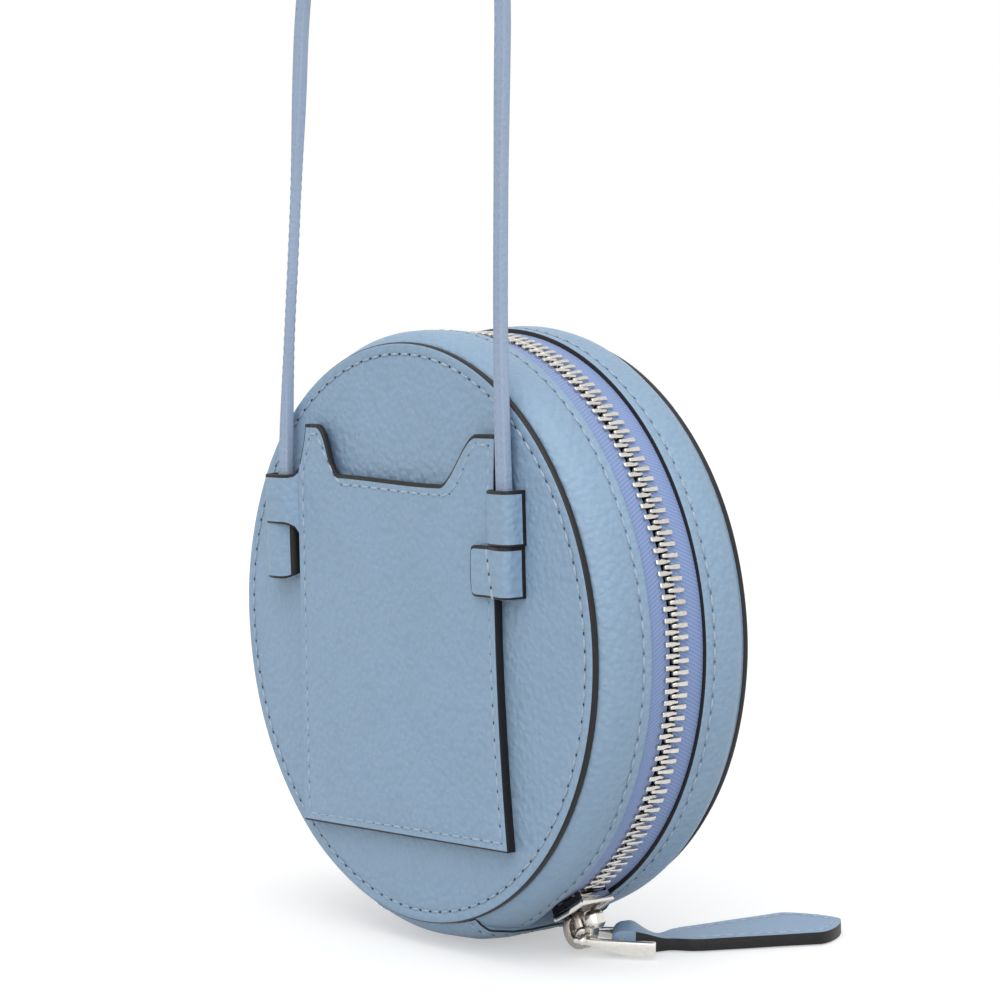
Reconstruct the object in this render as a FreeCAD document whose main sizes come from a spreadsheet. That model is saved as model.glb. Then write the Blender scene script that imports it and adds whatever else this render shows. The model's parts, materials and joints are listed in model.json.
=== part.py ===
import FreeCAD, Part
import math
import os
import re
import Sketcher

# A small round drum bag in leather, hung from a thin strap.
# Lengths are millimetres and angles are degrees. The origin is under the top of the strap's loop,
# +Z points up, the back with its slip pocket faces -Y and the zip runs round the rim.
# Clock angles count from the top of the drum towards +X, so the closed slider stands near 154.
SIZES = {
    # The drum and its two round panels
    "hang_drop": 176.0,
    "drum_depth": 42.0,
    "panel_radius": 62.5,
    "panel_thick": 1.8,
    # The leather bands of the rim, turned in behind the panels
    "band_leather": 1.4,
    "crown_rise": 2.1,
    "crown_run": 3.4,
    "shoulder_inset": 0.5,
    "seam_flange": 4.6,
    "base_rise": 1.3,
    "band_end_angle": 162.2,
    "base_end_gap": 0.3,
    # Stiffening boards and cloth lining
    "board_gap": 0.3,
    "lining_cloth": 0.6,
    "lining_inset": 2.2,
    "ply_gap": 0.05,
    # Zip tapes and teeth
    "zip_gap": 14.4,
    "tape_cloth": 0.6,
    "tape_tuck": 3.8,
    "tape_edge": 2.2,
    "tape_end_angle": 161.0,
    "tooth_pitch": 2.37,
    "tooth_width": 1.05,
    "tooth_height": 2.6,
    "tooth_cross": 0.9,
    "tooth_tail": 3.3,
    "teeth_first_angle": -157.0,
    "teeth_last_angle": 153.4,
    "stop_width": 1.5,
    "stop_inner": 1.5,
    "top_stop_angle": 157.4,
    "bottom_stop_angle": -159.0,
    # Slider
    "slider_front_angle": 155.9,
    "slider_length": 10.4,
    "slider_half": 4.5,
    "slider_plate": 1.9,
    "slider_lip": 0.95,
    "slider_lip_drop": 0.7,
    "slider_clearance": 0.5,
    "slider_post": 2.2,
    # Swivel lug, puller frame and its crossbar
    "lug_angle": 153.5,
    "lug_post_radius": 1.4,
    "lug_drop": 8.5,
    "barrel_wall": 0.9,
    "barrel_half": 2.1,
    "pin_radius": 0.75,
    "pin_half": 5.4,
    "pin_ball": 1.2,
    "pin_clearance": 0.08,
    "puller_yaw": 48.0,
    "puller_pitch": 4.6,
    "puller_roll": 5.0,
    "frame_heel": 2.0,
    "frame_heel_half": 4.0,
    "frame_heel_depth": 1.9,
    "frame_reach": 15.5,
    "frame_mouth_half": 8.0,
    "frame_mouth_depth": 3.4,
    "frame_arm": 1.5,
    "crossbar_reach": 8.3,
    "crossbar_radius": 0.9,
    "crossbar_half": 4.5,
    # Leather pull folded round the crossbar
    "pull_yaw": 70.5,
    "pull_leather": 1.2,
    "pull_thick": 2.6,
    "pull_sink": 2.1,
    "fold_half": 4.0,
    "neck_half": 3.0,
    "neck_run": 9.6,
    "flare_half": 6.1,
    "flare_reach": 13.3,
    "shoulder_reach": 42.7,
    "shoulder_half": 10.8,
    "tip_reach": 50.3,
    # Slip pocket on the back, sewn a little to the left of the middle
    "pocket_aside": -1.9,
    "pocket_leather": 1.4,
    "pocket_slack": 1.4,
    "pocket_top": 43.0,
    "pocket_drop": 42.6,
    "pocket_top_half": 34.0,
    "pocket_base_half": 36.8,
    "ear_inner_half": 28.7,
    "scoop_half": 18.6,
    "scoop_top": 32.2,
    "hem_width": 4.5,
    # Strap and the loops that hold it
    "strap_width": 3.5,
    "strap_thick": 2.0,
    "strap_clearance": 0.3,
    "strap_sway": 0.5,
    "loop_leather": 1.3,
    "loop_gap": 0.3,
    "loop_wall": 2.8,
    "sleeve_foot": 21.3,
    "sleeve_height": 11.3,
    "keeper_foot": 9.5,
    "keeper_height": 11.4,
    "keeper_tab": 29.0,
    "keeper_tab_leather": 1.2,
}

# The strap's middle line, right-hand half, as X and Z from the origin: from inside the lower keeper
# straight up to the loop's first corner, then over the top. The left half is its mirror image, and both
# feet stand aside with the pocket.
STRAP_ROUTE = [(40.95, -166.0), (36.6, -19.7), (15.1, 1.75)]
# An arc of the strap takes this share of its shorter neighbouring run.
STRAP_ARC_SHARE = 0.45
# The loops stand where the strap's foot is.
SIZES["strap_foot"] = STRAP_ROUTE[0][0]

doc = FreeCAD.newDocument("circle_bag")
sheet = doc.addObject("Spreadsheet::Sheet", "Sizes")
for row, (alias, number) in enumerate(SIZES.items(), 1):
    sheet.set(f"A{row}", alias)
    sheet.set(f"B{row}", str(number))
    sheet.setAlias(f"B{row}", alias)
doc.recompute()

# Sizes that several pieces share, written in the sheet's own names
INNER_FACE = "(drum_depth / 2 - panel_thick)"
CROWN = "(panel_radius + crown_rise)"
SHOULDER = "(panel_radius - shoulder_inset)"
BAND_END = f"({INNER_FACE} - crown_run - band_leather / 2)"
TAPE_TOP = f"({CROWN} - band_leather - ply_gap)"
TAPE_FOOT = f"({TAPE_TOP} - tape_cloth)"
TOOTH_TOP = f"({TAPE_TOP} - tape_cloth / 2 + tooth_height / 2)"
TOOTH_FOOT = f"({TAPE_TOP} - tape_cloth / 2 - tooth_height / 2)"
SLIDER_TOP = f"({TOOTH_TOP} + slider_clearance + slider_plate)"
SLIDER_FOOT = f"({TOOTH_FOOT} - slider_clearance - slider_plate)"
POCKET_PROUD = "(pocket_leather + pocket_slack)"
LOOP_PROUD = "(2 * loop_leather + strap_thick + 2 * strap_clearance)"
SLOT_HALF = "(strap_width / 2 + strap_sway + strap_clearance)"
SLOT_MIDDLE = "(strap_foot - strap_sway)"
LOOP_OUTER = f"({SLOT_MIDDLE} + {SLOT_HALF} + loop_wall)"
HANG_BACK = "(drum_depth / 2 + loop_leather + strap_clearance + strap_thick / 2)"
PIVOT_RADIUS = "(panel_radius + lug_drop)"
BORE_RADIUS = "(pin_radius + pin_clearance)"

sub_parts = []


def expression(text):
    """The text with every size name pointed at the sheet."""
    return re.sub(r"\b([a-z]+(?:_[a-z]+)+)\b", r"Sizes.\1", text)


def value(text):
    """The number that an expression in size names gives."""
    return float(sheet.evalExpression(expression(text)))


def bind(thing, **sizes):
    """Tie properties of an object to the sheet."""
    for prop, text in sizes.items():
        thing.setExpression(prop, expression(text))


def finish(thing, label):
    """Name a finished sub-part and keep it for export."""
    thing.Label = label
    sub_parts.append(thing)
    return thing


# The middle of the drum, below and in front of the strap's plane
drum_centre = FreeCAD.Vector(0, value(HANG_BACK), -value("hang_drop"))


def drum_place(clock):
    """The drum's middle, turned so that local +X points at a clock angle."""
    turn = FreeCAD.Rotation(FreeCAD.Vector(0, 1, 0), value(f"{clock} - 90"))
    return FreeCAD.Placement(drum_centre, turn)


def at_clock(clock, radius):
    """The point of the zip's middle plane at a clock angle and a radius."""
    angle = math.radians(value(clock))
    outward = FreeCAD.Vector(math.sin(angle), 0, math.cos(angle))
    return drum_centre + outward * value(radius)


def outline(body, role, name, loops):
    """A sketch of closed straight-edged loops, each corner held by two sizes from the origin."""
    sketch = body.newObject("Sketcher::SketchObject", name)
    plane = [feature for feature in body.Origin.OriginFeatures if feature.Role == role][0]
    sketch.AttachmentSupport = [(plane, "")]
    sketch.MapMode = "FlatFace"
    for corners in loops:
        first = sketch.GeometryCount
        count = len(corners)
        points = [FreeCAD.Vector(value(across), value(along), 0) for across, along in corners]
        for i, point in enumerate(points):
            sketch.addGeometry(Part.LineSegment(point, points[(i + 1) % count]), False)
        for i in range(count):
            following = first + (i + 1) % count
            sketch.addConstraint(Sketcher.Constraint("Coincident", first + i, 2, following, 1))
        for i, (across, along) in enumerate(corners):
            for kind, axis, text in (("DistanceX", -2, across), ("DistanceY", -1, along)):
                if text == "0":
                    sketch.addConstraint(Sketcher.Constraint("PointOnObject", first + i, 1, axis))
                    continue
                held = Sketcher.Constraint(kind, -1, 1, first + i, 1, value(text))
                number = sketch.addConstraint(held)
                sketch.setExpression(f"Constraints[{number}]", expression(text))
    return sketch


def pad(body, sketch, length, midplane=False):
    """A straight pad of a sketch."""
    feature = body.newObject("PartDesign::Pad", "Pad")
    feature.Profile = sketch
    feature.Midplane = midplane
    bind(feature, Length=length)
    return feature


def turned(body, name, corners, angle, midplane=True):
    """A sector turned about the drum's axis from an outline in radius and depth."""
    sketch = outline(body, "XY_Plane", name, [corners])
    feature = body.newObject("PartDesign::Revolution", "Turned")
    feature.Profile = sketch
    feature.ReferenceAxis = (sketch, ["V_Axis"])
    feature.Midplane = midplane
    feature.Reversed = not midplane
    bind(feature, Angle=angle)
    return feature


def new_body(name):
    return doc.addObject("PartDesign::Body", name)


def disc(label, radius, thick, foot):
    """A round flat piece whose lower face in Y stands at foot."""
    piece = doc.addObject("Part::Cylinder", label)
    bind(piece, Radius=radius, Height=thick)
    facing = FreeCAD.Rotation(FreeCAD.Vector(1, 0, 0), -90)
    piece.Placement = FreeCAD.Placement(drum_centre + FreeCAD.Vector(0, value(foot), 0), facing)
    return finish(piece, label)


def ring_sector(label, corners, angle, clock):
    """One turned piece of the rim, centred on a clock angle."""
    body = new_body(label)
    turned(body, label + "_outline", corners, angle)
    body.Placement = drum_place(clock)
    return finish(body, label)


def mirrored(corners, side):
    """Corners in radius and depth, on the front for +1 or the back for -1."""
    return [(radius, depth if side > 0 else f"-({depth})") for radius, depth in corners]


# Two halves of the drum: leather panel, stiffening board and lining
def panel_stack(name, side):
    face = "drum_depth / 2"
    thick_total = "panel_thick + band_leather + lining_cloth"
    feet = {
        "panel": f"{face} - panel_thick",
        "board": f"{face} - panel_thick - band_leather",
        "lining": f"{face} - ({thick_total})",
    }
    thicks = {"panel": "panel_thick", "board": "band_leather", "lining": "lining_cloth"}
    radii = {
        "panel": "panel_radius",
        "board": f"{SHOULDER} - seam_flange - board_gap",
        "lining": f"{SHOULDER} - lining_inset",
    }
    for piece, foot in feet.items():
        start = foot if side > 0 else f"-({foot}) - {thicks[piece]}"
        disc(f"{name}_{piece}", radii[piece], thicks[piece], start)


# A rim band: crowned wall from the zip to the panel, turned in behind the panel's edge
def zip_band(name, side):
    corners = [
        (CROWN, "zip_gap / 2"),
        (CROWN, f"{INNER_FACE} - crown_run"),
        (SHOULDER, INNER_FACE),
        (f"{SHOULDER} - seam_flange", INNER_FACE),
        (f"{SHOULDER} - seam_flange", f"{INNER_FACE} - band_leather"),
        (f"{SHOULDER} - band_leather", f"{INNER_FACE} - band_leather"),
        (f"{CROWN} - band_leather", BAND_END),
        (f"{CROWN} - band_leather", "zip_gap / 2"),
    ]
    ring_sector(f"{name}_zip_band", mirrored(corners, side), "2 * band_end_angle", "0")
    cloth_top = f"{TAPE_FOOT} - ply_gap"
    cloth = [
        (cloth_top, "zip_gap / 2"),
        (cloth_top, f"{BAND_END} - board_gap"),
        (f"{cloth_top} - lining_cloth", f"{BAND_END} - board_gap"),
        (f"{cloth_top} - lining_cloth", "zip_gap / 2"),
    ]
    ring_sector(f"{name}_band_lining", mirrored(cloth, side), "2 * band_end_angle", "0")
    tape = [
        (TAPE_TOP, "tape_edge"),
        (TAPE_TOP, "zip_gap / 2 + tape_tuck"),
        (TAPE_FOOT, "zip_gap / 2 + tape_tuck"),
        (TAPE_FOOT, "tape_edge"),
    ]
    ring_sector(f"{name}_zip_tape", mirrored(tape, side), "2 * tape_end_angle", "0")


# The base of the rim: one piece across the whole depth that folds along its middle when the bag opens
def base_of_rim():
    half = [
        (f"{CROWN} + base_rise", f"{INNER_FACE} - crown_run"),
        ("panel_radius", INNER_FACE),
        (f"{SHOULDER} - seam_flange", INNER_FACE),
        (f"{SHOULDER} - seam_flange", f"{INNER_FACE} - band_leather"),
        (f"{SHOULDER} - band_leather", f"{INNER_FACE} - band_leather"),
        (f"{CROWN} - band_leather", BAND_END),
    ]
    corners = mirrored(half, 1) + mirrored(half, -1)[::-1]
    base_angle = f"360 - 2 * band_end_angle - 2 * base_end_gap * 180 / pi / {CROWN}"
    ring_sector("base_gusset", corners, base_angle, "180")
    cloth = [
        (TAPE_TOP, f"{BAND_END} - board_gap"),
        (f"{TAPE_TOP} - lining_cloth", f"{BAND_END} - board_gap"),
    ]
    corners = mirrored(cloth, 1) + mirrored(cloth, -1)[::-1]
    ring_sector("base_lining", corners, base_angle, "180")


def rim_block(corners, side, width, clock):
    """A straight block of the zip from an outline in radius and depth, at a clock angle."""
    half = value(width) / 2
    points = [FreeCAD.Vector(value(r), side * value(y), -half) for r, y in corners]
    solid = Part.Face(Part.makePolygon(points + points[:1])).extrude(FreeCAD.Vector(0, 0, 2 * half))
    solid.rotate(FreeCAD.Vector(), FreeCAD.Vector(0, 1, 0), clock - value("90"))
    return solid


def clamp(side, inner, width, clock):
    """A metal clamp on one tape's edge: from inner to the tail, slotted for the tape."""
    slot_top = f"{TAPE_TOP} + ply_gap"
    slot_foot = f"{TAPE_FOOT} - ply_gap"
    corners = [
        (TOOTH_FOOT, inner),
        (TOOTH_TOP, inner),
        (TOOTH_TOP, "tooth_tail"),
        (slot_top, "tooth_tail"),
        (slot_top, "tape_edge - ply_gap"),
        (slot_foot, "tape_edge - ply_gap"),
        (slot_foot, "tooth_tail"),
        (TOOTH_FOOT, "tooth_tail"),
    ]
    return rim_block(corners, side, width, clock)


def loose_shape(label, solids):
    """A sub-part made of solids as they stand about the drum's axis."""
    piece = doc.addObject("Part::Feature", label)
    piece.Shape = Part.makeCompound(solids)
    piece.Placement = FreeCAD.Placement(drum_centre, FreeCAD.Rotation())
    return finish(piece, label)


# Teeth: each row stands half a pitch from the other, so that the heads mesh
def zip_teeth():
    step = math.degrees(value("tooth_pitch") / value(f"{TAPE_TOP} - tape_cloth / 2"))
    first = value("teeth_first_angle")
    count = int((value("teeth_last_angle") - first) / step)
    for name, side, lead in (("back", -1, 0), ("front", 1, step / 2)):
        angles = [first + lead + i * step for i in range(count)]
        teeth = [clamp(side, "-tooth_cross", "tooth_width", angle) for angle in angles]
        loose_shape(f"{name}_zip_teeth", teeth)
        top_stop = clamp(side, "stop_inner", "stop_width", value("top_stop_angle"))
        loose_shape(f"{name}_top_stop", [top_stop])
    # The bottom stop grips the back tape and reaches across to the front tape's edge.
    across = [
        (TOOTH_FOOT, "0"),
        (TOOTH_TOP, "0"),
        (TOOTH_TOP, "tape_edge - board_gap"),
        (TOOTH_FOOT, "tape_edge - board_gap"),
    ]
    stop_clock = value("bottom_stop_angle")
    grip = clamp(-1, "0", "stop_width", stop_clock)
    bar = rim_block(across, 1, "stop_width", stop_clock)
    loose_shape("bottom_stop", [grip.fuse(bar).removeSplitter()])


# Slider: two lipped plates joined by the post that parts the rows, turned to the rim's curve
def zip_slider():
    body = new_body("slider_body")
    length_angle = f"slider_length * 180 / pi / {CROWN}"
    post_angle = f"slider_post * 180 / pi / {CROWN}"
    post = [
        (SLIDER_TOP, "slider_post / 2"),
        (SLIDER_TOP, "-slider_post / 2"),
        (SLIDER_FOOT, "-slider_post / 2"),
        (SLIDER_FOOT, "slider_post / 2"),
    ]
    turned(body, "post_outline", post, post_angle, midplane=False)
    for name, outer, inward in (("top", SLIDER_TOP, "-"), ("foot", SLIDER_FOOT, "+")):
        plate = f"{outer} {inward} slider_plate"
        lip = f"{plate} {inward} slider_lip_drop"
        half = [
            (outer, "slider_half"),
            (lip, "slider_half"),
            (lip, "slider_half - slider_lip"),
            (plate, "slider_half - slider_lip"),
        ]
        corners = mirrored(half, 1) + mirrored(half, -1)[::-1]
        turned(body, f"{name}_outline", corners, length_angle, midplane=False)
    body.Placement = drum_place("slider_front_angle")
    finish(body, "slider_body")


def fused(label, pieces):
    """Several primitives as one solid."""
    joined = doc.addObject("Part::MultiFuse", label)
    joined.Shapes = pieces
    joined.Refine = True
    return joined


def primitive(kind, name, place, **sizes):
    piece = doc.addObject(kind, name)
    bind(piece, **sizes)
    piece.Placement = place
    return piece


# The puller's own axes: local X runs from the lug to the crossbar, local Y along the pins
puller_turn = FreeCAD.Rotation(value("puller_yaw"), value("puller_pitch"), value("puller_roll"))
pivot = at_clock("lug_angle", PIVOT_RADIUS)
puller_place = FreeCAD.Placement(pivot, puller_turn)
along_pin = FreeCAD.Rotation(FreeCAD.Vector(1, 0, 0), -90)


def on_puller(reach, across):
    """A place on the puller whose local +Z runs along the pins."""
    offset = FreeCAD.Vector(value(reach), value(across), 0)
    return puller_place * FreeCAD.Placement(offset, along_pin)


# Swivel lug: a post standing on the slider, with a barrel across it for the puller's pin
def puller_lug():
    foot = at_clock("lug_angle", f"{SLIDER_TOP} + pin_clearance")
    outward = pivot - at_clock("lug_angle", "0")
    upright = FreeCAD.Rotation(FreeCAD.Vector(0, 0, 1), outward)
    post = primitive("Part::Cylinder", "lug_post", FreeCAD.Placement(foot, upright),
                     Radius="lug_post_radius", Height=f"{PIVOT_RADIUS} - {SLIDER_TOP} - pin_clearance")
    barrel = primitive("Part::Cylinder", "lug_barrel", on_puller("0", "-barrel_half"),
                       Radius=f"{BORE_RADIUS} + barrel_wall", Height="2 * barrel_half")
    lug = doc.addObject("Part::Cut", "puller_lug")
    lug.Base = fused("post_and_barrel", [post, barrel])
    lug.Tool = primitive("Part::Cylinder", "lug_bore", on_puller("0", "-pin_half"),
                         Radius=BORE_RADIUS, Height="2 * pin_half")
    finish(lug, "puller_lug")


# One arm of the puller, from the pin to the wide end
def puller_arm(name, side):
    corners = [
        ("-frame_heel", "frame_heel_half"),
        ("frame_reach", "frame_mouth_half"),
        ("frame_reach", "frame_mouth_half - frame_arm"),
        ("-frame_heel", "frame_heel_half - frame_arm"),
    ]
    body = new_body(name)
    sketch = outline(body, "XY_Plane", name + "_outline", [mirrored(corners, side)])
    pad(body, sketch, "frame_mouth_depth", midplane=True)
    body.Placement = puller_place
    return body


# Puller: a stirrup open at its wide end. Its arms deepen towards that end, a pin joins them at the lug
# and a crossbar stands between them.
def puller_frame():
    arms = fused("arms", [puller_arm("near_arm", -1), puller_arm("far_arm", 1)])
    wedge = new_body("arm_depths")
    corners = [
        ("-frame_heel", "frame_heel_depth / 2"),
        ("frame_reach", "frame_mouth_depth / 2"),
        ("frame_reach", "-frame_mouth_depth / 2"),
        ("-frame_heel", "-frame_heel_depth / 2"),
    ]
    sketch = outline(wedge, "XZ_Plane", "arm_depths_outline", [corners])
    pad(wedge, sketch, "4 * frame_mouth_half", midplane=True)
    wedge.Placement = puller_place
    shaped = doc.addObject("Part::Common", "shaped_arms")
    shaped.Base = arms
    shaped.Tool = wedge
    pieces = [
        shaped,
        primitive("Part::Cylinder", "frame_pin", on_puller("0", "-pin_half"),
                  Radius="pin_radius", Height="2 * pin_half"),
        primitive("Part::Sphere", "near_ball", on_puller("0", "-pin_half"), Radius="pin_ball"),
        primitive("Part::Sphere", "far_ball", on_puller("0", "pin_half"), Radius="pin_ball"),
    ]
    finish(fused("puller_frame", pieces), "puller_frame")
    crossbar = primitive("Part::Cylinder", "puller_crossbar", on_puller("crossbar_reach", "-crossbar_half"),
                         Radius="crossbar_radius", Height="2 * crossbar_half")
    finish(crossbar, "puller_crossbar")


# Leather pull: a two-ply blade that widens to a point, its neck folded round the crossbar
def zip_pull():
    middle = puller_place.multVec(FreeCAD.Vector(value("crossbar_reach"), 0, 0))
    sink = FreeCAD.Vector(0, 0, value("pull_sink"))
    body = new_body("blade")
    half = [
        ("0", "neck_half"),
        ("neck_run", "neck_half"),
        ("flare_reach", "flare_half"),
        ("shoulder_reach", "shoulder_half"),
    ]
    corners = half + [("tip_reach", "0")] + mirrored(half, -1)[::-1]
    pad(body, outline(body, "XY_Plane", "blade_outline", [corners]), "pull_thick", midplane=True)
    body.Placement = FreeCAD.Placement(middle - sink, FreeCAD.Rotation(value("pull_yaw"), 0, 0))
    barrel = primitive("Part::Cylinder", "fold", on_puller("crossbar_reach", "-fold_half"),
                       Radius="crossbar_radius + pin_clearance + pull_leather", Height="2 * fold_half")
    bore = primitive("Part::Cylinder", "fold_bore", on_puller("crossbar_reach", "-shoulder_half"),
                     Radius="crossbar_radius + pin_clearance", Height="2 * shoulder_half")
    pull = doc.addObject("Part::Cut", "zip_pull")
    pull.Base = fused("fold_and_blade", [body, barrel])
    pull.Tool = bore
    finish(pull, "zip_pull")


def back_place(proud, z="0"):
    """A place in the pocket's middle on the back panel, raised by proud, at a height from the drum's axis."""
    offset = FreeCAD.Vector(value("pocket_aside"), value(f"-drum_depth / 2 - {proud}"), value(z))
    return FreeCAD.Placement(drum_centre + offset, FreeCAD.Rotation())


# Slip pocket: a hem on three sides and a face with a scooped top between two ears
def back_pocket():
    outer = [("pocket_base_half", "-pocket_drop"), ("pocket_top_half", "pocket_top")]
    rim = [("ear_inner_half", "pocket_top"), ("scoop_half", "scoop_top")]
    well = [
        ("pocket_top_half - hem_width", "pocket_top"),
        ("pocket_base_half - hem_width", "hem_width - pocket_drop"),
    ]
    for label, upper, thick, proud in (
        ("pocket_hem", well, "pocket_slack", "0"),
        ("pocket_face", rim, "pocket_leather", "pocket_slack"),
    ):
        half = outer + upper
        other = [(f"-({across})", along) for across, along in half[::-1]]
        body = new_body(label)
        pad(body, outline(body, "XZ_Plane", label + "_outline", [half + other]), thick)
        body.Placement = back_place(proud)
        finish(body, label)


def pocket_half_at(height):
    """The pocket's half width at a height, from its straight sides."""
    taper = "(pocket_base_half - pocket_top_half) / (pocket_top + pocket_drop)"
    return f"(pocket_top_half + {taper} * (pocket_top - ({height})))"


# Strap loops: an upper sleeve and a lower keeper on each side of the pocket. The right keeper has a tab
# that lies on the pocket.
def strap_loops():
    slot = [
        (f"{SLOT_MIDDLE} - {SLOT_HALF}", "-loop_leather"),
        (f"{SLOT_MIDDLE} + {SLOT_HALF}", "-loop_leather"),
        (f"{SLOT_MIDDLE} + {SLOT_HALF}", f"loop_leather - {LOOP_PROUD}"),
        (f"{SLOT_MIDDLE} - {SLOT_HALF}", f"loop_leather - {LOOP_PROUD}"),
    ]
    tab_foot = f"-{POCKET_PROUD} - ply_gap"
    for label, sign, foot, height, tab in (
        ("right_strap_sleeve", "", "sleeve_foot", "sleeve_height", False),
        ("left_strap_sleeve", "-", "sleeve_foot", "sleeve_height", False),
        ("right_strap_keeper", "", "keeper_foot", "keeper_height", True),
        ("left_strap_keeper", "-", "keeper_foot", "keeper_height", False),
    ):
        start = f"{pocket_half_at(foot)} + loop_gap"
        corners = [
            (start, "0"),
            (LOOP_OUTER, "0"),
            (LOOP_OUTER, f"-{LOOP_PROUD}"),
            (start, f"-{LOOP_PROUD}"),
        ]
        if tab:
            corners.append(("keeper_tab", f"{tab_foot} - keeper_tab_leather"))
            corners.append(("keeper_tab", tab_foot))
            corners.append((start, tab_foot))
        loops = [[(f"{sign}({across})", depth) for across, depth in loop] for loop in (corners, slot)]
        body = new_body(label)
        pad(body, outline(body, "XY_Plane", label + "_outline", loops), height)
        body.Placement = back_place("0", foot)
        finish(body, label)


def rounded_path(points):
    """Straight runs joined by tangent arcs, with the radius of each arc printed."""
    edges = []
    start = points[0]
    for before, corner, after in zip(points, points[1:], points[2:]):
        back = before - corner
        ahead = after - corner
        tangent = STRAP_ARC_SHARE * min(back.Length, ahead.Length)
        turn = math.pi - back.getAngle(ahead)
        radius = tangent / math.tan(turn / 2)
        print(f"strap arc radius {radius:.1f} mm")
        first = corner + back.normalize() * tangent
        last = corner + ahead.normalize() * tangent
        bisector = (back + ahead).normalize()
        centre = corner + bisector * math.hypot(radius, tangent)
        edges.append(Part.LineSegment(start, first).toShape())
        edges.append(Part.Arc(first, centre - bisector * radius, last).toShape())
        start = last
    edges.append(Part.LineSegment(start, points[-1]).toShape())
    return Part.Wire(edges)


# Strap: flat leather, from one keeper up, over the loop's top and down to the other keeper
def strap():
    right = [FreeCAD.Vector(x, 0, z) for x, z in STRAP_ROUTE]
    left = [FreeCAD.Vector(-x, 0, z) for x, z in STRAP_ROUTE[::-1]]
    for foot in (right[0], left[-1]):
        foot.x += value("pocket_aside")
    path = rounded_path(right + left)
    forward = (right[1] - right[0]).normalize()
    across = forward.cross(FreeCAD.Vector(0, 1, 0)) * value("strap_width / 2")
    through = FreeCAD.Vector(0, value("strap_thick / 2"), 0)
    corners = [right[0] + across * i + through * j for i, j in ((-1, -1), (1, -1), (1, 1), (-1, 1))]
    section = Part.makePolygon(corners + corners[:1])
    tube = path.makePipeShell([section], True, False)
    piece = doc.addObject("Part::Feature", "strap")
    piece.Shape = tube
    ratio = tube.Volume / (path.Length * value("strap_width * strap_thick"))
    print(f"strap length {path.Length:.1f} mm, volume over section times length {ratio:.4f}")
    finish(piece, "strap")


panel_stack("back", -1)
panel_stack("front", 1)
zip_band("back", -1)
zip_band("front", 1)
base_of_rim()
zip_teeth()
zip_slider()
puller_lug()
puller_frame()
zip_pull()
back_pocket()
strap_loops()
strap()
doc.recompute()

for thing in doc.Objects:
    if "Invalid" in thing.State or "Error" in thing.State:
        raise RuntimeError(f"{thing.Label} failed: {thing.State}")
for piece in sub_parts:
    if piece.Shape.isNull() or not piece.Shape.isValid():
        raise RuntimeError(f"{piece.Label} has no valid shape")

os.makedirs("parts", exist_ok=True)
for piece in sub_parts:
    piece.Shape.exportStep(f"parts/{piece.Label}.step")
    box = piece.Shape.BoundBox
    spans = (("x", box.XMin, box.XMax), ("y", box.YMin, box.YMax), ("z", box.ZMin, box.ZMax))
    extents = ", ".join(f"{axis} {low:.1f} {high:.1f}" for axis, low, high in spans)
    print(f"{piece.Label}: {len(piece.Shape.Solids)} solids, {piece.Shape.Volume:.1f} mm3, {extents}")
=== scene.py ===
import json
import math

import bmesh
import bpy
from mathutils import Matrix, Vector, noise


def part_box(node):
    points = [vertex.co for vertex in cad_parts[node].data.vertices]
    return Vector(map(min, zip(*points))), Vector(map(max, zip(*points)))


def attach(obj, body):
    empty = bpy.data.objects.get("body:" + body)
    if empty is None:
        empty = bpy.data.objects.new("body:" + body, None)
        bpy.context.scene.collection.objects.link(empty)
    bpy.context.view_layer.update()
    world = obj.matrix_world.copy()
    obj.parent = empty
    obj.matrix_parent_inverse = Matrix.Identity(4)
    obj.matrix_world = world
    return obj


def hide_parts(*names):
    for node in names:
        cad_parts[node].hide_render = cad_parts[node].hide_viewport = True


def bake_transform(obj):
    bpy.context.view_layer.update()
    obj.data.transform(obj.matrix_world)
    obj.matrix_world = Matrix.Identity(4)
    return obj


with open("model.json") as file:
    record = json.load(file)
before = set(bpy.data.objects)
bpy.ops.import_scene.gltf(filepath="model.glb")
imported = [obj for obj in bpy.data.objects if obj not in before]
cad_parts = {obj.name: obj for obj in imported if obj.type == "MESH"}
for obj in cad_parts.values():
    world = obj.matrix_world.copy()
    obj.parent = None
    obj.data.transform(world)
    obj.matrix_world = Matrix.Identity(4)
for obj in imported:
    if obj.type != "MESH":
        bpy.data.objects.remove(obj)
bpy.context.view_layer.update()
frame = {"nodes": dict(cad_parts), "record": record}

MM = 0.001
TOUCH = 0.02 * MM
SAME_PLACE = 0.001 * MM
HALVES = (("back", -1, "bag_body"), ("front", 1, "front_shell"))
FOLDING = "both halves"

# Places and sizes read from the frame
panel_low, panel_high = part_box("back_panel")
front_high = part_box("front_panel")[1]
band_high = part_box("back_zip_band")[1]
base_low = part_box("base_gusset")[0]
tape_low, tape_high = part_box("back_zip_tape")
pocket_low, pocket_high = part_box("pocket_face")
hem_low, hem_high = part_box("pocket_hem")
sleeve_low, sleeve_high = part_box("right_strap_sleeve")
keeper_low, keeper_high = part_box("right_strap_keeper")
pull_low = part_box("zip_pull")[0]

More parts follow.
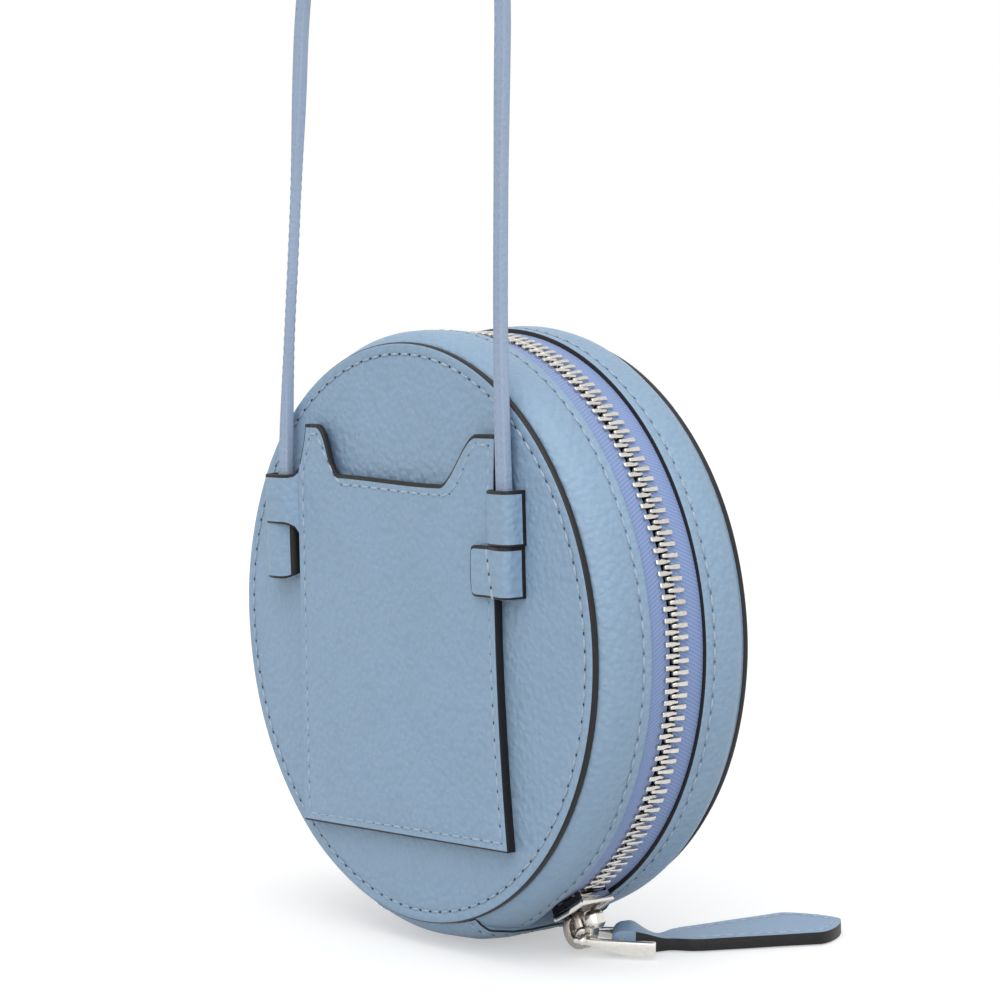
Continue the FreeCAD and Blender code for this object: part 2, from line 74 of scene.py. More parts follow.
AXIS = Vector((0, (panel_low.y + front_high.y) / 2, (panel_low.z + panel_high.z) / 2))
HALF_DEPTH = (front_high.y - panel_low.y) / 2
PANEL_RADIUS = panel_high.x
PANEL_THICK = panel_high.y - panel_low.y
INNER_FACE = HALF_DEPTH - PANEL_THICK
CROWN = band_high.x
CROWN_RUN = 3.4 * MM
RIM_SHOULDER = INNER_FACE - CROWN_RUN
BASE_CROWN = AXIS.z - base_low.z
ZIP_EDGE = AXIS.y - band_high.y
TAPE_TOP = tape_high.x
TAPE_EDGE = AXIS.y - tape_high.y
TAPE_TUCK = AXIS.y - tape_low.y
POCKET_MIDDLE = (pocket_low.x + pocket_high.x) / 2
FLOOR_Z = pull_low.z - 0.3 * MM

# Rim: clock angles count from the top of the drum towards +X
BAND_END = math.radians(162.2)
TAPE_END = math.radians(161.0)
TEETH_FIRST = math.radians(-157.0)
TEETH_LAST = math.radians(153.4)
TOOTH_PITCH = 2.37 * MM
BAND_LEATHER = 1.4 * MM
TAPE_CLOTH = 0.6 * MM
LINING_CLOTH = 0.6 * MM
RIM_STEPS = 180

# Sewing
STITCH_PITCH = 3.57 * MM
STITCH_LENGTH = 2.5 * MM
THREAD = 0.6 * MM
PANEL_SEAM = 2.6 * MM
BAND_SEAM = 2.3 * MM
POCKET_SEAM = 1.9 * MM

# The strap's line, repeated from the part and moved to the photograph: it leans over the bag above the panel
STRAP_ROUTE = [
    (39.05, 0, -166.0), (38.0, 0, -128.0), (37.1, 2.4, -80.0), (36.9, 5.4, -24.0), (15.1, 5.6, 1.75),
    (-15.1, 5.6, 1.75), (-35.2, 5.4, -24.0), (-36.8, 2.4, -80.0), (-40.2, 0, -128.0), (-42.85, 0, -166.0),
]
STRAP_WIDTH = 3.5 * MM
STRAP_THICK = 2.0 * MM


# Modelling

def eased(share):
    """A share from 0 to 1 that starts and ends gently."""
    share = min(1.0, max(0.0, share))
    return share * share * (3 - 2 * share)


def beside(radius, depth, rows):
    """Points of a section at offsets in millimetres from one radius and depth."""
    return [(radius + r * MM, depth + y * MM) for r, y in rows]


def mirrored(rows, side):
    """A half's section on its own side of the drum's middle plane."""
    return [(radius, side * depth) for radius, depth in rows]


def added(name, data):
    """A new object in the scene that holds some data."""
    thing = bpy.data.objects.new(name, data)
    bpy.context.scene.collection.objects.link(thing)
    return thing


def fresh(name, add, **settings):
    """Adds a primitive with nothing else selected, with its place in its mesh."""
    bpy.ops.object.select_all(action="DESELECT")
    add(**settings)
    piece = bpy.context.object
    piece.name = name
    piece.data.name = name
    bpy.ops.object.transform_apply(location=True, rotation=True, scale=True)
    return piece


def only(piece):
    """Makes a piece the only selected object and the active one."""
    bpy.ops.object.select_all(action="DESELECT")
    piece.select_set(True)
    bpy.context.view_layer.objects.active = piece


def enter():
    """Enters edit mode with everything selected."""
    bpy.ops.object.mode_set(mode="EDIT")
    bpy.ops.mesh.select_all(action="SELECT")


def leave():
    """Leaves edit mode."""
    bpy.ops.object.mode_set(mode="OBJECT")


def choose(piece, test, kind="FACE"):
    """Enters edit mode with just the faces selected that pass a test, or the vertices."""
    only(piece)
    bpy.ops.object.mode_set(mode="EDIT")
    bpy.ops.mesh.select_mode(type=kind)
    bpy.ops.mesh.select_all(action="DESELECT")
    mesh = bmesh.from_edit_mesh(piece.data)
    if kind == "FACE":
        for face in mesh.faces:
            face.select_set(test(face.calc_center_median(), face.normal))
    else:
        for vert in mesh.verts:
            vert.select_set(test(vert.co))
    bmesh.update_edit_mesh(piece.data)


def extrude(move):
    """Extrudes what is selected."""
    bpy.ops.mesh.extrude_region_move(TRANSFORM_OT_translate={"value": move})


def sliced(place, way):
    """Cuts the whole mesh in edit mode along a plane."""
    bpy.ops.mesh.select_all(action="SELECT")
    bpy.ops.mesh.bisect(plane_co=place, plane_no=way)


def tidy_mesh(piece):
    """Merges doubles and turns all faces outwards."""
    only(piece)
    enter()
    bpy.ops.mesh.remove_doubles(threshold=3 * SAME_PLACE)
    bpy.ops.mesh.normals_make_consistent(inside=False)
    leave()


def drawn(name, points, closed=False):
    """A line of edges in edit mode, each drawn by extruding the last point."""
    piece = fresh(name, bpy.ops.mesh.primitive_plane_add, size=MM, location=points[0])
    enter()
    bpy.ops.mesh.select_mode(type="VERT")
    bpy.ops.mesh.merge(type="CENTER")
    for here, there in zip(points, points[1:]):
        extrude(there - here)
    if closed:
        ends = (points[0], points[-1])
        leave()
        choose(piece, lambda co: min((co - end).length for end in ends) < SAME_PLACE, "VERT")
        bpy.ops.mesh.edge_face_add()
    return piece


def rim_point(clock, radius, depth):
    """The point at a clock angle, a radius from the drum's axis and a depth from its middle plane."""
    return AXIS + Vector((radius * math.sin(clock), depth, radius * math.cos(clock)))


def rim_out(clock):
    """The way out from the drum's axis at a clock angle."""
    return Vector((math.sin(clock), 0, math.cos(clock)))


def rim_radius(point):
    return math.hypot(point.x - AXIS.x, point.z - AXIS.z)


def rim_clock(point):
    return math.atan2(point.x - AXIS.x, point.z - AXIS.z)


def turned(name, profile, first=0.0, last=2 * math.pi, steps=RIM_STEPS, closed=True):
    """A piece spun about the drum's axis from a profile in radius and depth, its ends filled."""
    piece = drawn(name, [rim_point(first, radius, depth) for radius, depth in profile], closed)
    bpy.ops.mesh.select_all(action="SELECT")
    bpy.ops.mesh.spin(steps=steps, angle=last - first, center=AXIS, axis=(0, -1, 0))
    if closed:
        bpy.ops.mesh.select_all(action="SELECT")
        bpy.ops.mesh.fill_holes(sides=0)
    leave()
    tidy_mesh(piece)
    return piece


def modified(piece, kind, **settings):
    """Adds a modifier and applies it."""
    only(piece)
    modifier = piece.modifiers.new(kind, kind)
    for name, setting in settings.items():
        setattr(modifier, name, setting)
    bpy.ops.object.modifier_apply(modifier=modifier.name)


def rounded(piece, width, segments, angle):
    """Rounds the edges that are sharper than an angle."""
    modified(piece, "BEVEL", width=width, segments=segments, limit_method="ANGLE",
             angle_limit=math.radians(angle), harden_normals=False)


def smooth(piece, angle=50):
    only(piece)
    bpy.ops.object.shade_smooth_by_angle(angle=math.radians(angle))


def soften(piece, height, span, seed):
    """Moves the surface in and out in slow waves, as hand-cut leather lies."""
    shift = Vector((seed, -seed, 2 * seed))
    moved = [vert.co + vert.normal * height * noise.noise(vert.co / span + shift)
             for vert in piece.data.vertices]
    for vert, place in zip(piece.data.vertices, moved):
        vert.co = place


def dressed(piece, *looks):
    """Gives a piece its finishes, the first one for every face that isn't painted later."""
    piece.data.materials.clear()
    for look in looks:
        piece.data.materials.append(look)


def painted(piece, test, index=1):
    """Gives the faces that pass a test, by middle and normal, one of the piece's finishes."""
    for face in piece.data.polygons:
        if test(face.center, face.normal):
            face.material_index = index


def unrolled(piece, across, along):
    """A UV map in metres, from two functions of a point."""
    layer = piece.data.uv_layers.new(name="cloth")
    for loop in piece.data.loops:
        point = piece.data.vertices[loop.vertex_index].co
        layer.data[loop.index].uv = (across(point), along(point))


def placed(piece, body, slot, *nodes):
    """Hangs a piece on its body, or keeps a piece across the fold in place on no body with its transform
    baked in, and hides the CAD nodes it replaces. The slot is not used.
    """
    if body == FOLDING:
        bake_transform(piece)
    else:
        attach(piece, body)
    if nodes:
        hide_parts(*nodes)
    return piece


def copied(name, model, places):
    """One mesh holding a copy of a model at each place."""
    verts, faces, looks = [], [], []
    shape = [vert.co.copy() for vert in model.data.vertices]
    for place in places:
        first = len(verts)
        verts += [place @ point for point in shape]
        faces += [[first + i for i in face.vertices] for face in model.data.polygons]
        looks += [face.material_index for face in model.data.polygons]
    mesh = bpy.data.meshes.new(name)
    mesh.from_pydata(verts, [], faces)
    mesh.polygons.foreach_set("material_index", looks)
    for material in model.data.materials:
        mesh.materials.append(material)
    return added(name, mesh)


def joined(name, pieces):
    """Joins pieces into the first one."""
    only(pieces[0])
    for piece in pieces:
        piece.select_set(True)
    bpy.ops.object.join()
    pieces[0].name = name
    pieces[0].data.name = name
    return pieces[0]


# Sewing: a line is a list of (point, outward) pairs

def frames_along(line, pitch):
    """Places at even steps along a line, with X along it and Z outwards."""
    lengths = [0.0]
    for (here, _), (there, _) in zip(line, line[1:]):
        lengths.append(lengths[-1] + (there - here).length)
    count = max(1, round(lengths[-1] / pitch))
    step = lengths[-1] / count
    places, run = [], 0
    for i in range(count):
        wanted = (i + 0.5) * step
        while lengths[run + 1] < wanted:
            run += 1
        (here, out), (there, later) = line[run], line[run + 1]
        share = (wanted - lengths[run]) / (lengths[run + 1] - lengths[run])
        ahead = (there - here).normalized()
        side = out.lerp(later, share).cross(ahead).normalized()
        turn = Matrix((ahead, side, ahead.cross(side))).transposed()
        places.append(Matrix.Translation(here.lerp(there, share)) @ turn.to_4x4())
    return places


def sewn(name, line, body, slot, pitch=STITCH_PITCH, length=STITCH_LENGTH, thick=THREAD, hole=None,
         thread=None):
    """A row of stitches: the thread's back between two needle holes, each hole a dark mark of painted shade
    unless another finish is given.
    """
    ball = {"segments": 6, "ring_count": 4, "radius": 0.5}
    model = fresh("stitch", bpy.ops.mesh.primitive_uv_sphere_add, rotation=(0, math.radians(90), 0), **ball)
    enter()
    bpy.ops.transform.resize(value=(length, thick, thick))
    bpy.ops.mesh.primitive_uv_sphere_add(**ball)
    bpy.ops.transform.resize(value=(1.3 * thick, 0.9 * thick, 0.25 * thick))
    bpy.ops.transform.translate(value=(pitch / 2, 0, TOUCH))
    leave()
    dressed(model, thread or sewing_thread, hole or needle_hole_shade)
    painted(model, lambda middle, _: middle.x > length / 2)
    piece = copied(name, model, frames_along(line, pitch))
    bpy.data.objects.remove(model, do_unlink=True)
    smooth(piece, 80)
    return placed(piece, body, slot)


# Finishes

RIB_SCALE = 0.31


def linear(code):
    """An sRGB hex colour as linear RGBA."""
    shades = [int(code[i:i + 2], 16) / 255 for i in (1, 3, 5)]
    return (*(c / 12.92 if c <= 0.04045 else ((c + 0.055) / 1.055) ** 2.4 for c in shades), 1.0)


def node(tree, kind, inputs=None, **settings):
    """Adds a node with its settings, and its inputs as links or values."""
    made = tree.nodes.new(kind)
    for name, setting in settings.items():
        setattr(made, name, setting)
    for name, given in (inputs or {}).items():
        if isinstance(given, bpy.types.NodeSocket):
            tree.links.new(given, made.inputs[name])
        else:
            made.inputs[name].default_value = given
    return made


def finish(name, **values):
    """A new material with its shader, and the shader's plain values set on its sockets."""
    material = bpy.data.materials.new(name)
    material.use_nodes = True
    shader = material.node_tree.nodes["Principled BSDF"]
    for socket, value in values.items():
        shader.inputs[socket.replace("_", " ")].default_value = value
    return material, material.node_tree, shader


def wired(tree, shader, **links):
    """Links outputs to the shader's sockets."""
    for socket, output in links.items():
        tree.links.new(output, shader.inputs[socket.replace("_", " ")])


def on_object(tree):
    """The place on the piece, in metres."""
    return node(tree, "ShaderNodeTexCoord").outputs["Object"]


def speckle(tree, place, grain, detail=2.0):
    """Cloudy noise of a given grain, as a factor."""
    cloud = node(tree, "ShaderNodeTexNoise", {"Vector": place, "Scale": 1 / grain, "Detail": detail})
    return cloud.outputs["Fac"]


def twill(tree, place, turn, rib, uneven):
    """Slanting ribs of a given width, as a factor."""
    slant = node(tree, "ShaderNodeMapping", {"Vector": place, "Rotation": turn}).outputs[0]
    return node(tree, "ShaderNodeTexWave", {"Vector": slant, "Scale": RIB_SCALE / rib, "Distortion": uneven,
                                            "Detail": 1.0}, bands_direction="X").outputs["Fac"]


def spread(tree, factor, low, high):
    """A noise's usual range, spread between two values."""
    return node(tree, "ShaderNodeMapRange", {"Value": factor, "From Min": 0.3, "From Max": 0.7,
                                             "To Min": low, "To Max": high}).outputs[0]


def summed(tree, first, share, second):
    """A share of one factor on top of another."""
    return node(tree, "ShaderNodeMath", {0: first, 1: share, 2: second}, operation="MULTIPLY_ADD").outputs[0]


def between(tree, factor, low_hex, high_hex):
    """A colour between two, by a factor."""
    return node(tree, "ShaderNodeMix", {"Factor": factor, "A": linear(low_hex), "B": linear(high_hex)},
                data_type="RGBA").outputs["Result"]


def raised(tree, height, depth, strength, **settings):
    """A bump of a given depth."""
    return node(tree, "ShaderNodeBump", {"Height": height, "Distance": depth, "Strength": strength},
                **settings).outputs[0]


def pebbled_leather(name, body_hex, crease_shade_hex, grain=1.4 * MM, depth=0.4 * MM, gloss=0.5):
    """Calf leather embossed with a fine pebble: soft low cells, painted shade in the creases, a satin
    dressing.
    """
    material, tree, shader = finish(name, Roughness=gloss, IOR=1.5)
    place = on_object(tree)
    drift = node(tree, "ShaderNodeTexNoise", {"Vector": place, "Scale": 0.45 / grain, "Detail": 2.0})
    warp = node(tree, "ShaderNodeVectorMath", {0: drift.outputs["Color"], "Scale": 0.45 * grain},
                operation="SCALE")
    bent = node(tree, "ShaderNodeVectorMath", {0: place, 1: warp.outputs[0]}, operation="ADD").outputs[0]
    cells = node(tree, "ShaderNodeTexVoronoi", {"Vector": bent, "Scale": 1 / grain, "Smoothness": 0.6},
                 feature="SMOOTH_F1").outputs["Distance"]
    pores = node(tree, "ShaderNodeTexNoise",
                 {"Vector": place, "Scale": 2.2 / grain, "Detail": 3.0, "Roughness": 0.6}).outputs["Fac"]
    crease_shade = node(tree, "ShaderNodeMapRange",
                  {"Value": cells, "From Min": 0.45, "From Max": 0.95, "To Max": 0.3})
    colour = between(tree, crease_shade.outputs[0], body_hex, crease_shade_hex)
    mottle = spread(tree, speckle(tree, place, 16 * MM, 3.0), 0.975, 1.02)
    toned = node(tree, "ShaderNodeVectorMath", {0: colour, "Scale": mottle}, operation="SCALE")
    wired(tree, shader, Base_Color=toned.outputs[0],
          Roughness=spread(tree, pores, gloss - 0.07, gloss + 0.09),
          Normal=raised(tree, summed(tree, pores, 0.35, cells), depth, 0.7, invert=True))
    return material


def edge_paint():
    """Acrylic edge paint on cut leather: nearly black brown, built up in a rounded, faintly uneven bead."""
    material, tree, shader = finish("edge_paint", Roughness=0.5, IOR=1.42)
    flow = speckle(tree, on_object(tree), 1.6 * MM, 3.0)
    wired(tree, shader, Base_Color=between(tree, flow, "#100f10", "#231f1f"),
          Normal=raised(tree, flow, 0.06 * MM, 0.6))
    return material


def spun_thread():
    """Waxed polyester sewing thread: a pale blue twist with fine uneven plies."""
    material, tree, shader = finish("sewing_thread", Roughness=0.55, IOR=1.55)
    plies = speckle(tree, on_object(tree), 0.45 * MM)
    wired(tree, shader, Base_Color=between(tree, plies, "#8197ab", "#c3d2df"),
          Normal=raised(tree, plies, 0.1 * MM, 0.6))
    return material


def hole_shade_finish(name, deep_hex, rim_hex):
    """Painted shade for the mouth of a needle hole in leather: a matt dark mark with a fine speckle."""
    material, tree, shader = finish(name, Roughness=0.9, IOR=1.4)
    wired(tree, shader, Base_Color=between(tree, speckle(tree, on_object(tree), 0.3 * MM), deep_hex, rim_hex))
    return material


def woven_tape():
    """Polyester zip tape: a close twill, periwinkle blue, its slanting ribs painted lighter and darker as
    painted light where they catch it.
    """
    material, tree, shader = finish("zip_tape_twill", Roughness=0.7, IOR=1.5, Sheen_Weight=0.25,
                                    Sheen_Roughness=0.4)
    cloth = node(tree, "ShaderNodeUVMap", uv_map="cloth").outputs[0]
    # The ribs are drawn about half as coarse again as real twill, so that they show.
    ribs = twill(tree, cloth, (0, 0, math.radians(28)), 0.75 * MM, 0.6)
    threads = speckle(tree, cloth, 0.35 * MM)
    wired(tree, shader, Base_Color=between(tree, ribs, "#7d94c4", "#90a6d3"),
          Normal=raised(tree, summed(tree, threads, 0.4, ribs), 0.08 * MM, 0.5))
    return material


def cotton_lining():
    """Cotton twill lining: matt slate blue with a fine slanting weave."""
    material, tree, shader = finish("cotton_lining", Roughness=0.85, IOR=1.5, Sheen_Weight=0.2)
    place = on_object(tree)
    # Drawn twice as coarse as real lining twill, so that it shows.
    weave = twill(tree, place, (0, math.radians(35), 0), 1.0 * MM, 0.8)
    faded = summed(tree, weave, 0.6, speckle(tree, place, 12 * MM, 3.0))
    wired(tree, shader, Base_Color=between(tree, faded, "#4d5a72", "#66748d"),
          Normal=raised(tree, weave, 0.1 * MM, 0.5))
    return material


def bonded_board():
    """Bonded leather board: brown ground fibre pressed flat, matt and speckled."""
    material, tree, shader = finish("bonded_board", Roughness=0.8, IOR=1.5)
    fibre = speckle(tree, on_object(tree), 1.2 * MM, 4.0)
    wired(tree, shader, Base_Color=between(tree, fibre, "#6d4f36", "#a07f5e"))
    return material


def polished_nickel(name, tone, bright, roughness):
    """Nickel plate over brass or zinc: a warm bright mirror, with fine polishing swirls."""
    material, tree, shader = finish(name, Metallic=1.0)
    swirl = speckle(tree, on_object(tree), 0.8 * MM, 4.0)
    wired(tree, shader, Base_Color=between(tree, swirl, tone, bright),
          Roughness=spread(tree, swirl, roughness * 0.7, roughness * 1.4))
    return material


calf = pebbled_leather("pebbled_calf", "#90acc6", "#7e99b3")
strap_calf = pebbled_leather("strap_calf", "#9fb2cb", "#8c9dba", grain=0.8 * MM, depth=0.14 * MM, gloss=0.55)
pull_calf = pebbled_leather("pull_calf", "#86a1bd", "#758fab", grain=0.9 * MM, depth=0.1 * MM)
black_edge = edge_paint()
sewing_thread = spun_thread()
needle_hole_shade = hole_shade_finish("needle_hole_shade", "#20252c", "#4b5763")
faint_hole_shade = hole_shade_finish("faint_hole_shade", "#4f6478", "#71879c")
zip_twill = woven_tape()
lining = cotton_lining()
board = bonded_board()
tooth_nickel = polished_nickel("tooth_nickel", "#bcb9b3", "#e9e6e0", 0.22)
puller_nickel = polished_nickel("puller_nickel", "#d8d4cc", "#f2efe9", 0.14)
# A darker copy of the nickel: painted shade and reflection for the slider's tray and walls.
tray_shade_nickel = polished_nickel("tray_shade_nickel", "#4b433e", "#6b625b", 0.34)
# A greyer copy of the nickel: painted reflection for the lug's bail, barrel and post.
bail_shade_nickel = polished_nickel("bail_shade_nickel", "#a49b94", "#c8c1bb", 0.24)


# Camera, floor and light

CAMERA_AZIMUTH = math.radians(52.28)
CAMERA_HEIGHT = math.radians(4.12)
CAMERA_ROLL = math.radians(-1.52)
CAMERA_DISTANCE = 643.9 * MM
CAMERA_ASIDE = 19.92 * MM
CAMERA_RAISED = 28.62 * MM
CAMERA_LENS_MM = 108.0
CAMERA_SENSOR_MM = 36.0
FLOOR_SIZE = 4.0
FLOOR_GLOW = 0.44
SURROUND_LIGHT = 0.62


def photo_camera():
    """The camera of the photograph, aimed beside the middle of the back panel."""
    toward = Vector((math.sin(CAMERA_AZIMUTH) * math.cos(CAMERA_HEIGHT),
                     -math.cos(CAMERA_AZIMUTH) * math.cos(CAMERA_HEIGHT), math.sin(CAMERA_HEIGHT)))
    level = Vector((math.cos(CAMERA_AZIMUTH), math.sin(CAMERA_AZIMUTH), 0))
    upward = toward.cross(level)
    right = math.cos(CAMERA_ROLL) * level + math.sin(CAMERA_ROLL) * upward
    top = math.cos(CAMERA_ROLL) * upward - math.sin(CAMERA_ROLL) * level
    aim = Vector((AXIS.x, panel_low.y, AXIS.z))
    spot = aim + CAMERA_DISTANCE * toward + CAMERA_ASIDE * right + CAMERA_RAISED * top
    lens = bpy.data.cameras.new("photo_camera")
    lens.lens = CAMERA_LENS_MM
    lens.sensor_width = CAMERA_SENSOR_MM
    lens.clip_start = 10 * MM
    camera = added("photo_camera", lens)
    camera.matrix_world = Matrix.Translation(spot) @ Matrix((right, top, toward)).transposed().to_4x4()
    bpy.context.scene.camera = camera


def soft_lamp(name, toward, spread_degrees, level):
    """A wide even light from one direction, so that the whole table is lit alike."""
    lamp = bpy.data.lights.new(name, "SUN")
    lamp.angle = math.radians(spread_degrees)
    lamp.energy = level
    added(name, lamp).matrix_world = (-Vector(toward)).to_track_quat("-Z", "Y").to_matrix().to_4x4()


def seen_light(tree, given, seen):
    """One strength for the light that is given, another for what the camera and mirrors see."""
    light = node(tree, "ShaderNodeLightPath").outputs
    direct = node(tree, "ShaderNodeMath", {0: light["Is Camera Ray"], 1: light["Is Transmission Ray"]},
                  operation="MAXIMUM")
    direct = node(tree, "ShaderNodeMath", {0: light["Is Glossy Ray"], 1: direct.outputs[0]},
                  operation="MAXIMUM")
    strength = node(tree, "ShaderNodeMapRange", {"Value": direct.outputs[0], "To Min": given, "To Max": seen})
    return strength.outputs[0]


def studio():
    """A white table under soft light: a white surround, one light overhead and one by the camera."""
    ground = fresh("floor", bpy.ops.mesh.primitive_plane_add, size=FLOOR_SIZE, location=(0, 0, FLOOR_Z))
    material, tree, shader = finish("white_table", Roughness=0.9, Base_Color=linear("#cdcdcd"),
                                    Emission_Color=(1, 1, 1, 1))
    wired(tree, shader, Emission_Strength=seen_light(tree, 0.0, FLOOR_GLOW))
    dressed(ground, material)
    world = bpy.data.worlds.new("white_studio")
    bpy.context.scene.world = world
    world.use_nodes = True
    backdrop = world.node_tree.nodes["Background"]
    backdrop.inputs["Color"].default_value = (1, 1, 1, 1)
    wired(world.node_tree, backdrop, Strength=seen_light(world.node_tree, SURROUND_LIGHT, 1.0))
    soft_lamp("overhead_light", (0.35, -0.25, 1.0), 60, 1.35)
    soft_lamp("camera_light", (0.75, -0.85, 0.45), 40, 0.45)
    bpy.context.scene.view_settings.view_transform = "Standard"


photo_camera()
studio()


# Strap: flat sewn leather that follows the route's own curve

LEFT_TWIST = math.radians(-28)
RIGHT_TWIST = math.radians(12)
TWIST_LOW = -142 * MM
TWIST_HIGH = -85 * MM
TWIST_EASE = 32 * MM
STRAP_CORNER = 0.42 * MM
STRAP_EDGE_SEAM = 0.75 * MM
STRAP_STITCH = {"pitch": 2.1 * MM, "length": 1.5 * MM, "thick": 0.3 * MM}


def strap_line():
    """Points along the smooth curve through the strap's route, right foot first."""
    curve = bpy.data.curves.new("strap_line", "CURVE")
    curve.dimensions = "3D"
    curve.resolution_u = 24
    spline = curve.splines.new("NURBS")
    spline.points.add(len(STRAP_ROUTE) - 1)
    for spot, place in zip(spline.points, STRAP_ROUTE):
        spot.co = (*(Vector(place) * MM), 1.0)
    spline.order_u = 3
    spline.use_endpoint_u = True
    holder = added("strap_line", curve)
    line = [vert.co.copy() for vert in bpy.data.meshes.new_from_object(holder).vertices]
    bpy.data.objects.remove(holder, do_unlink=True)
    return line


def strap_frames(line):
    """For each point of the line: the point, the way across the strap's face and the way out of it."""
    frames = []
    for i, place in enumerate(line):
        ahead = (line[min(i + 1, len(line) - 1)] - line[max(i - 1, 0)]).normalized()
        # Each run turns a little on itself between its sleeve and the top, the left one more.
        free = eased((place.z - TWIST_LOW) / TWIST_EASE) * (1 - eased((place.z - TWIST_HIGH) / TWIST_EASE))
        turn = free * (RIGHT_TWIST if place.x > 0 else LEFT_TWIST)
        across = ahead.cross(Vector((0, 1, 0))).normalized()
        out = across.cross(ahead).normalized()
        frames.append((place, across * math.cos(turn) + out * math.sin(turn),
                       out * math.cos(turn) - across * math.sin(turn)))
    return frames


def strap_section():
    """A rounded rectangle, as distances across the strap's face and out of it."""
    section = []
    for sx, sy, start in ((1, 1, 0), (-1, 1, 90), (-1, -1, 180), (1, -1, 270)):
        for a in (math.radians(start + 30 * step) for step in range(4)):
            section.append((sx * (STRAP_WIDTH / 2 - STRAP_CORNER) + STRAP_CORNER * math.cos(a),
                            sy * (STRAP_THICK / 2 - STRAP_CORNER) + STRAP_CORNER * math.sin(a)))
    return section


def strap():
    line = strap_line()
    frames = strap_frames(line)
    section = strap_section()
    count = len(section)
    verts = [place + across * x + out * y for place, across, out in frames for x, y in section]
    faces = []
    for ring in range(0, count * (len(frames) - 1), count):
        for i in range(count):
            a, b = ring + i, ring + (i + 1) % count
            faces.append((a, b, b + count, a + count))
    faces += [tuple(range(count)), tuple(range(len(verts) - count, len(verts)))]
    mesh = bpy.data.meshes.new("shoulder_strap")
    mesh.from_pydata(verts, [], faces)
    piece = added("shoulder_strap", mesh)
    tidy_mesh(piece)
    dressed(piece, strap_calf, black_edge)
    smooth(piece, 60)
    placed(piece, "bag_body", "strap_leather", "strap")
    for hand, side in (("left", -1), ("right", 1)):
        for way, face in (("inner", -1), ("outer", 1)):
            aside = side * (STRAP_WIDTH / 2 - STRAP_EDGE_SEAM)
            run = [(place + across * aside + out * face * STRAP_THICK / 2, out * face)
                   for place, across, out in frames]
            sewn(f"strap_stitches_{hand}_{way}", run, "bag_body", "strap_leather", **STRAP_STITCH,
                             hole=strap_calf, thread=strap_calf)


strap()


# Round panels: thick leather, sewn near its painted edge

PANEL_BULGE = 0.45 * MM
PANEL_PAINT = {"back": 0.34 * MM, "front": 0.19 * MM}
PANEL_GROOVE = 0.08 * MM


def panel_profile():
    """Radius and inward depth of a panel's section, from the outer face's middle round to the inner face."""
    seam = PANEL_RADIUS - PANEL_SEAM
    face = [(seam - 2.0 * MM) * i / 12 for i in range(13)]
    rows = [(r, -PANEL_BULGE * (1 - (r / face[-1]) ** 2)) for r in face]
    rows += beside(seam, 0, [(-1.1, 0), (-0.5, 0.08), (0, 0.24), (0.5, 0.08), (1.1, 0)])
    rows += beside(PANEL_RADIUS, 0, [(-0.75, 0.03), (-0.32, 0.14), (-0.08, 0.4), (0, 0.8), (0, 1.25),
                                     (-0.15, 1.6)])
    return rows + beside(PANEL_RADIUS, PANEL_THICK, [(-0.5, 0), (-8, 0)]) + [(0.0, PANEL_THICK)]


def panel(half, side, body):
    rows = [(radius, HALF_DEPTH - inward) for radius, inward in panel_profile()]
    piece = turned(f"{half}_round", mirrored(rows, side), closed=False)
    dressed(piece, calf, black_edge)
    painted(piece, lambda middle, _: rim_radius(middle) > PANEL_RADIUS - PANEL_PAINT[half])
    soften(piece, 0.12 * MM, 22 * MM, 3.1 * side)
    smooth(piece, 60)
    placed(piece, body, "panel_leather", f"{half}_panel")
    depth = side * (HALF_DEPTH - PANEL_GROOVE)
    line = [(rim_point(2 * math.pi * i / RIM_STEPS, PANEL_RADIUS - PANEL_SEAM, depth), Vector((0, side, 0)))
            for i in range(RIM_STEPS + 1)]
    sewn(f"{half}_panel_stitches", line, body, "panel_leather")


for half in HALVES:
    panel(*half)


# Rim bands: each rises from behind its panel to a low crown and ends in a painted edge at the zip

END_SWELL = 1.5 * MM
END_SWELL_RUN = math.radians(14)
BAND_PAINT = {"back": 0.11 * MM, "front": 0.22 * MM}
BAND_TUCK = 5.0 * MM
BAND_SEAM_SHORT = math.radians(2.5)


def zip_share(depth):
    """1 between the zip's edges, easing to 0 beside the panels."""
    return 1 - eased((abs(depth) - ZIP_EDGE) / (RIM_SHOULDER - ZIP_EDGE))


def band_push(clock):
    """How far a band stands out at the zip: only near the base."""
    return END_SWELL * eased((abs(clock) - BAND_END + END_SWELL_RUN) / END_SWELL_RUN)


def swelled(piece, push):
    """Pushes the rim's points outwards by a function of their clock angle, not at all beside the panel."""
    for vert in piece.data.vertices:
        clock = rim_clock(vert.co)
        vert.co += rim_out(clock) * push(clock) * zip_share(vert.co.y - AXIS.y)


def band_profile():
    """Radius and depth of a band's section: its outer face from the zip to the panel, then its inner face."""
    rows = beside(CROWN, ZIP_EDGE, [(-0.28, 0), (-0.08, 0.1), (0, 0.35), (0.05, 1.1)])
    rows += beside(CROWN, ZIP_EDGE + BAND_SEAM,
                   [(0, -0.5), (-0.18, 0), (0.02, 0.5), (0.18, 1.4), (0.28, 3.2)])
    rows += beside(CROWN, RIM_SHOULDER, [(0.16, -0.9), (-0.12, 0.3), (-0.6, 1.3), (-1.25, 2.2), (-1.9, 3.0)])
    return rows + [
        (CROWN - 2.3 * MM, INNER_FACE - TOUCH),
        (PANEL_RADIUS - BAND_TUCK, INNER_FACE - TOUCH),
        (PANEL_RADIUS - BAND_TUCK, INNER_FACE - BAND_LEATHER),
        (CROWN - 3.5 * MM, INNER_FACE - BAND_LEATHER),
        (CROWN - BAND_LEATHER, RIM_SHOULDER - BAND_LEATHER / 2),
        (CROWN - BAND_LEATHER, ZIP_EDGE),
    ]


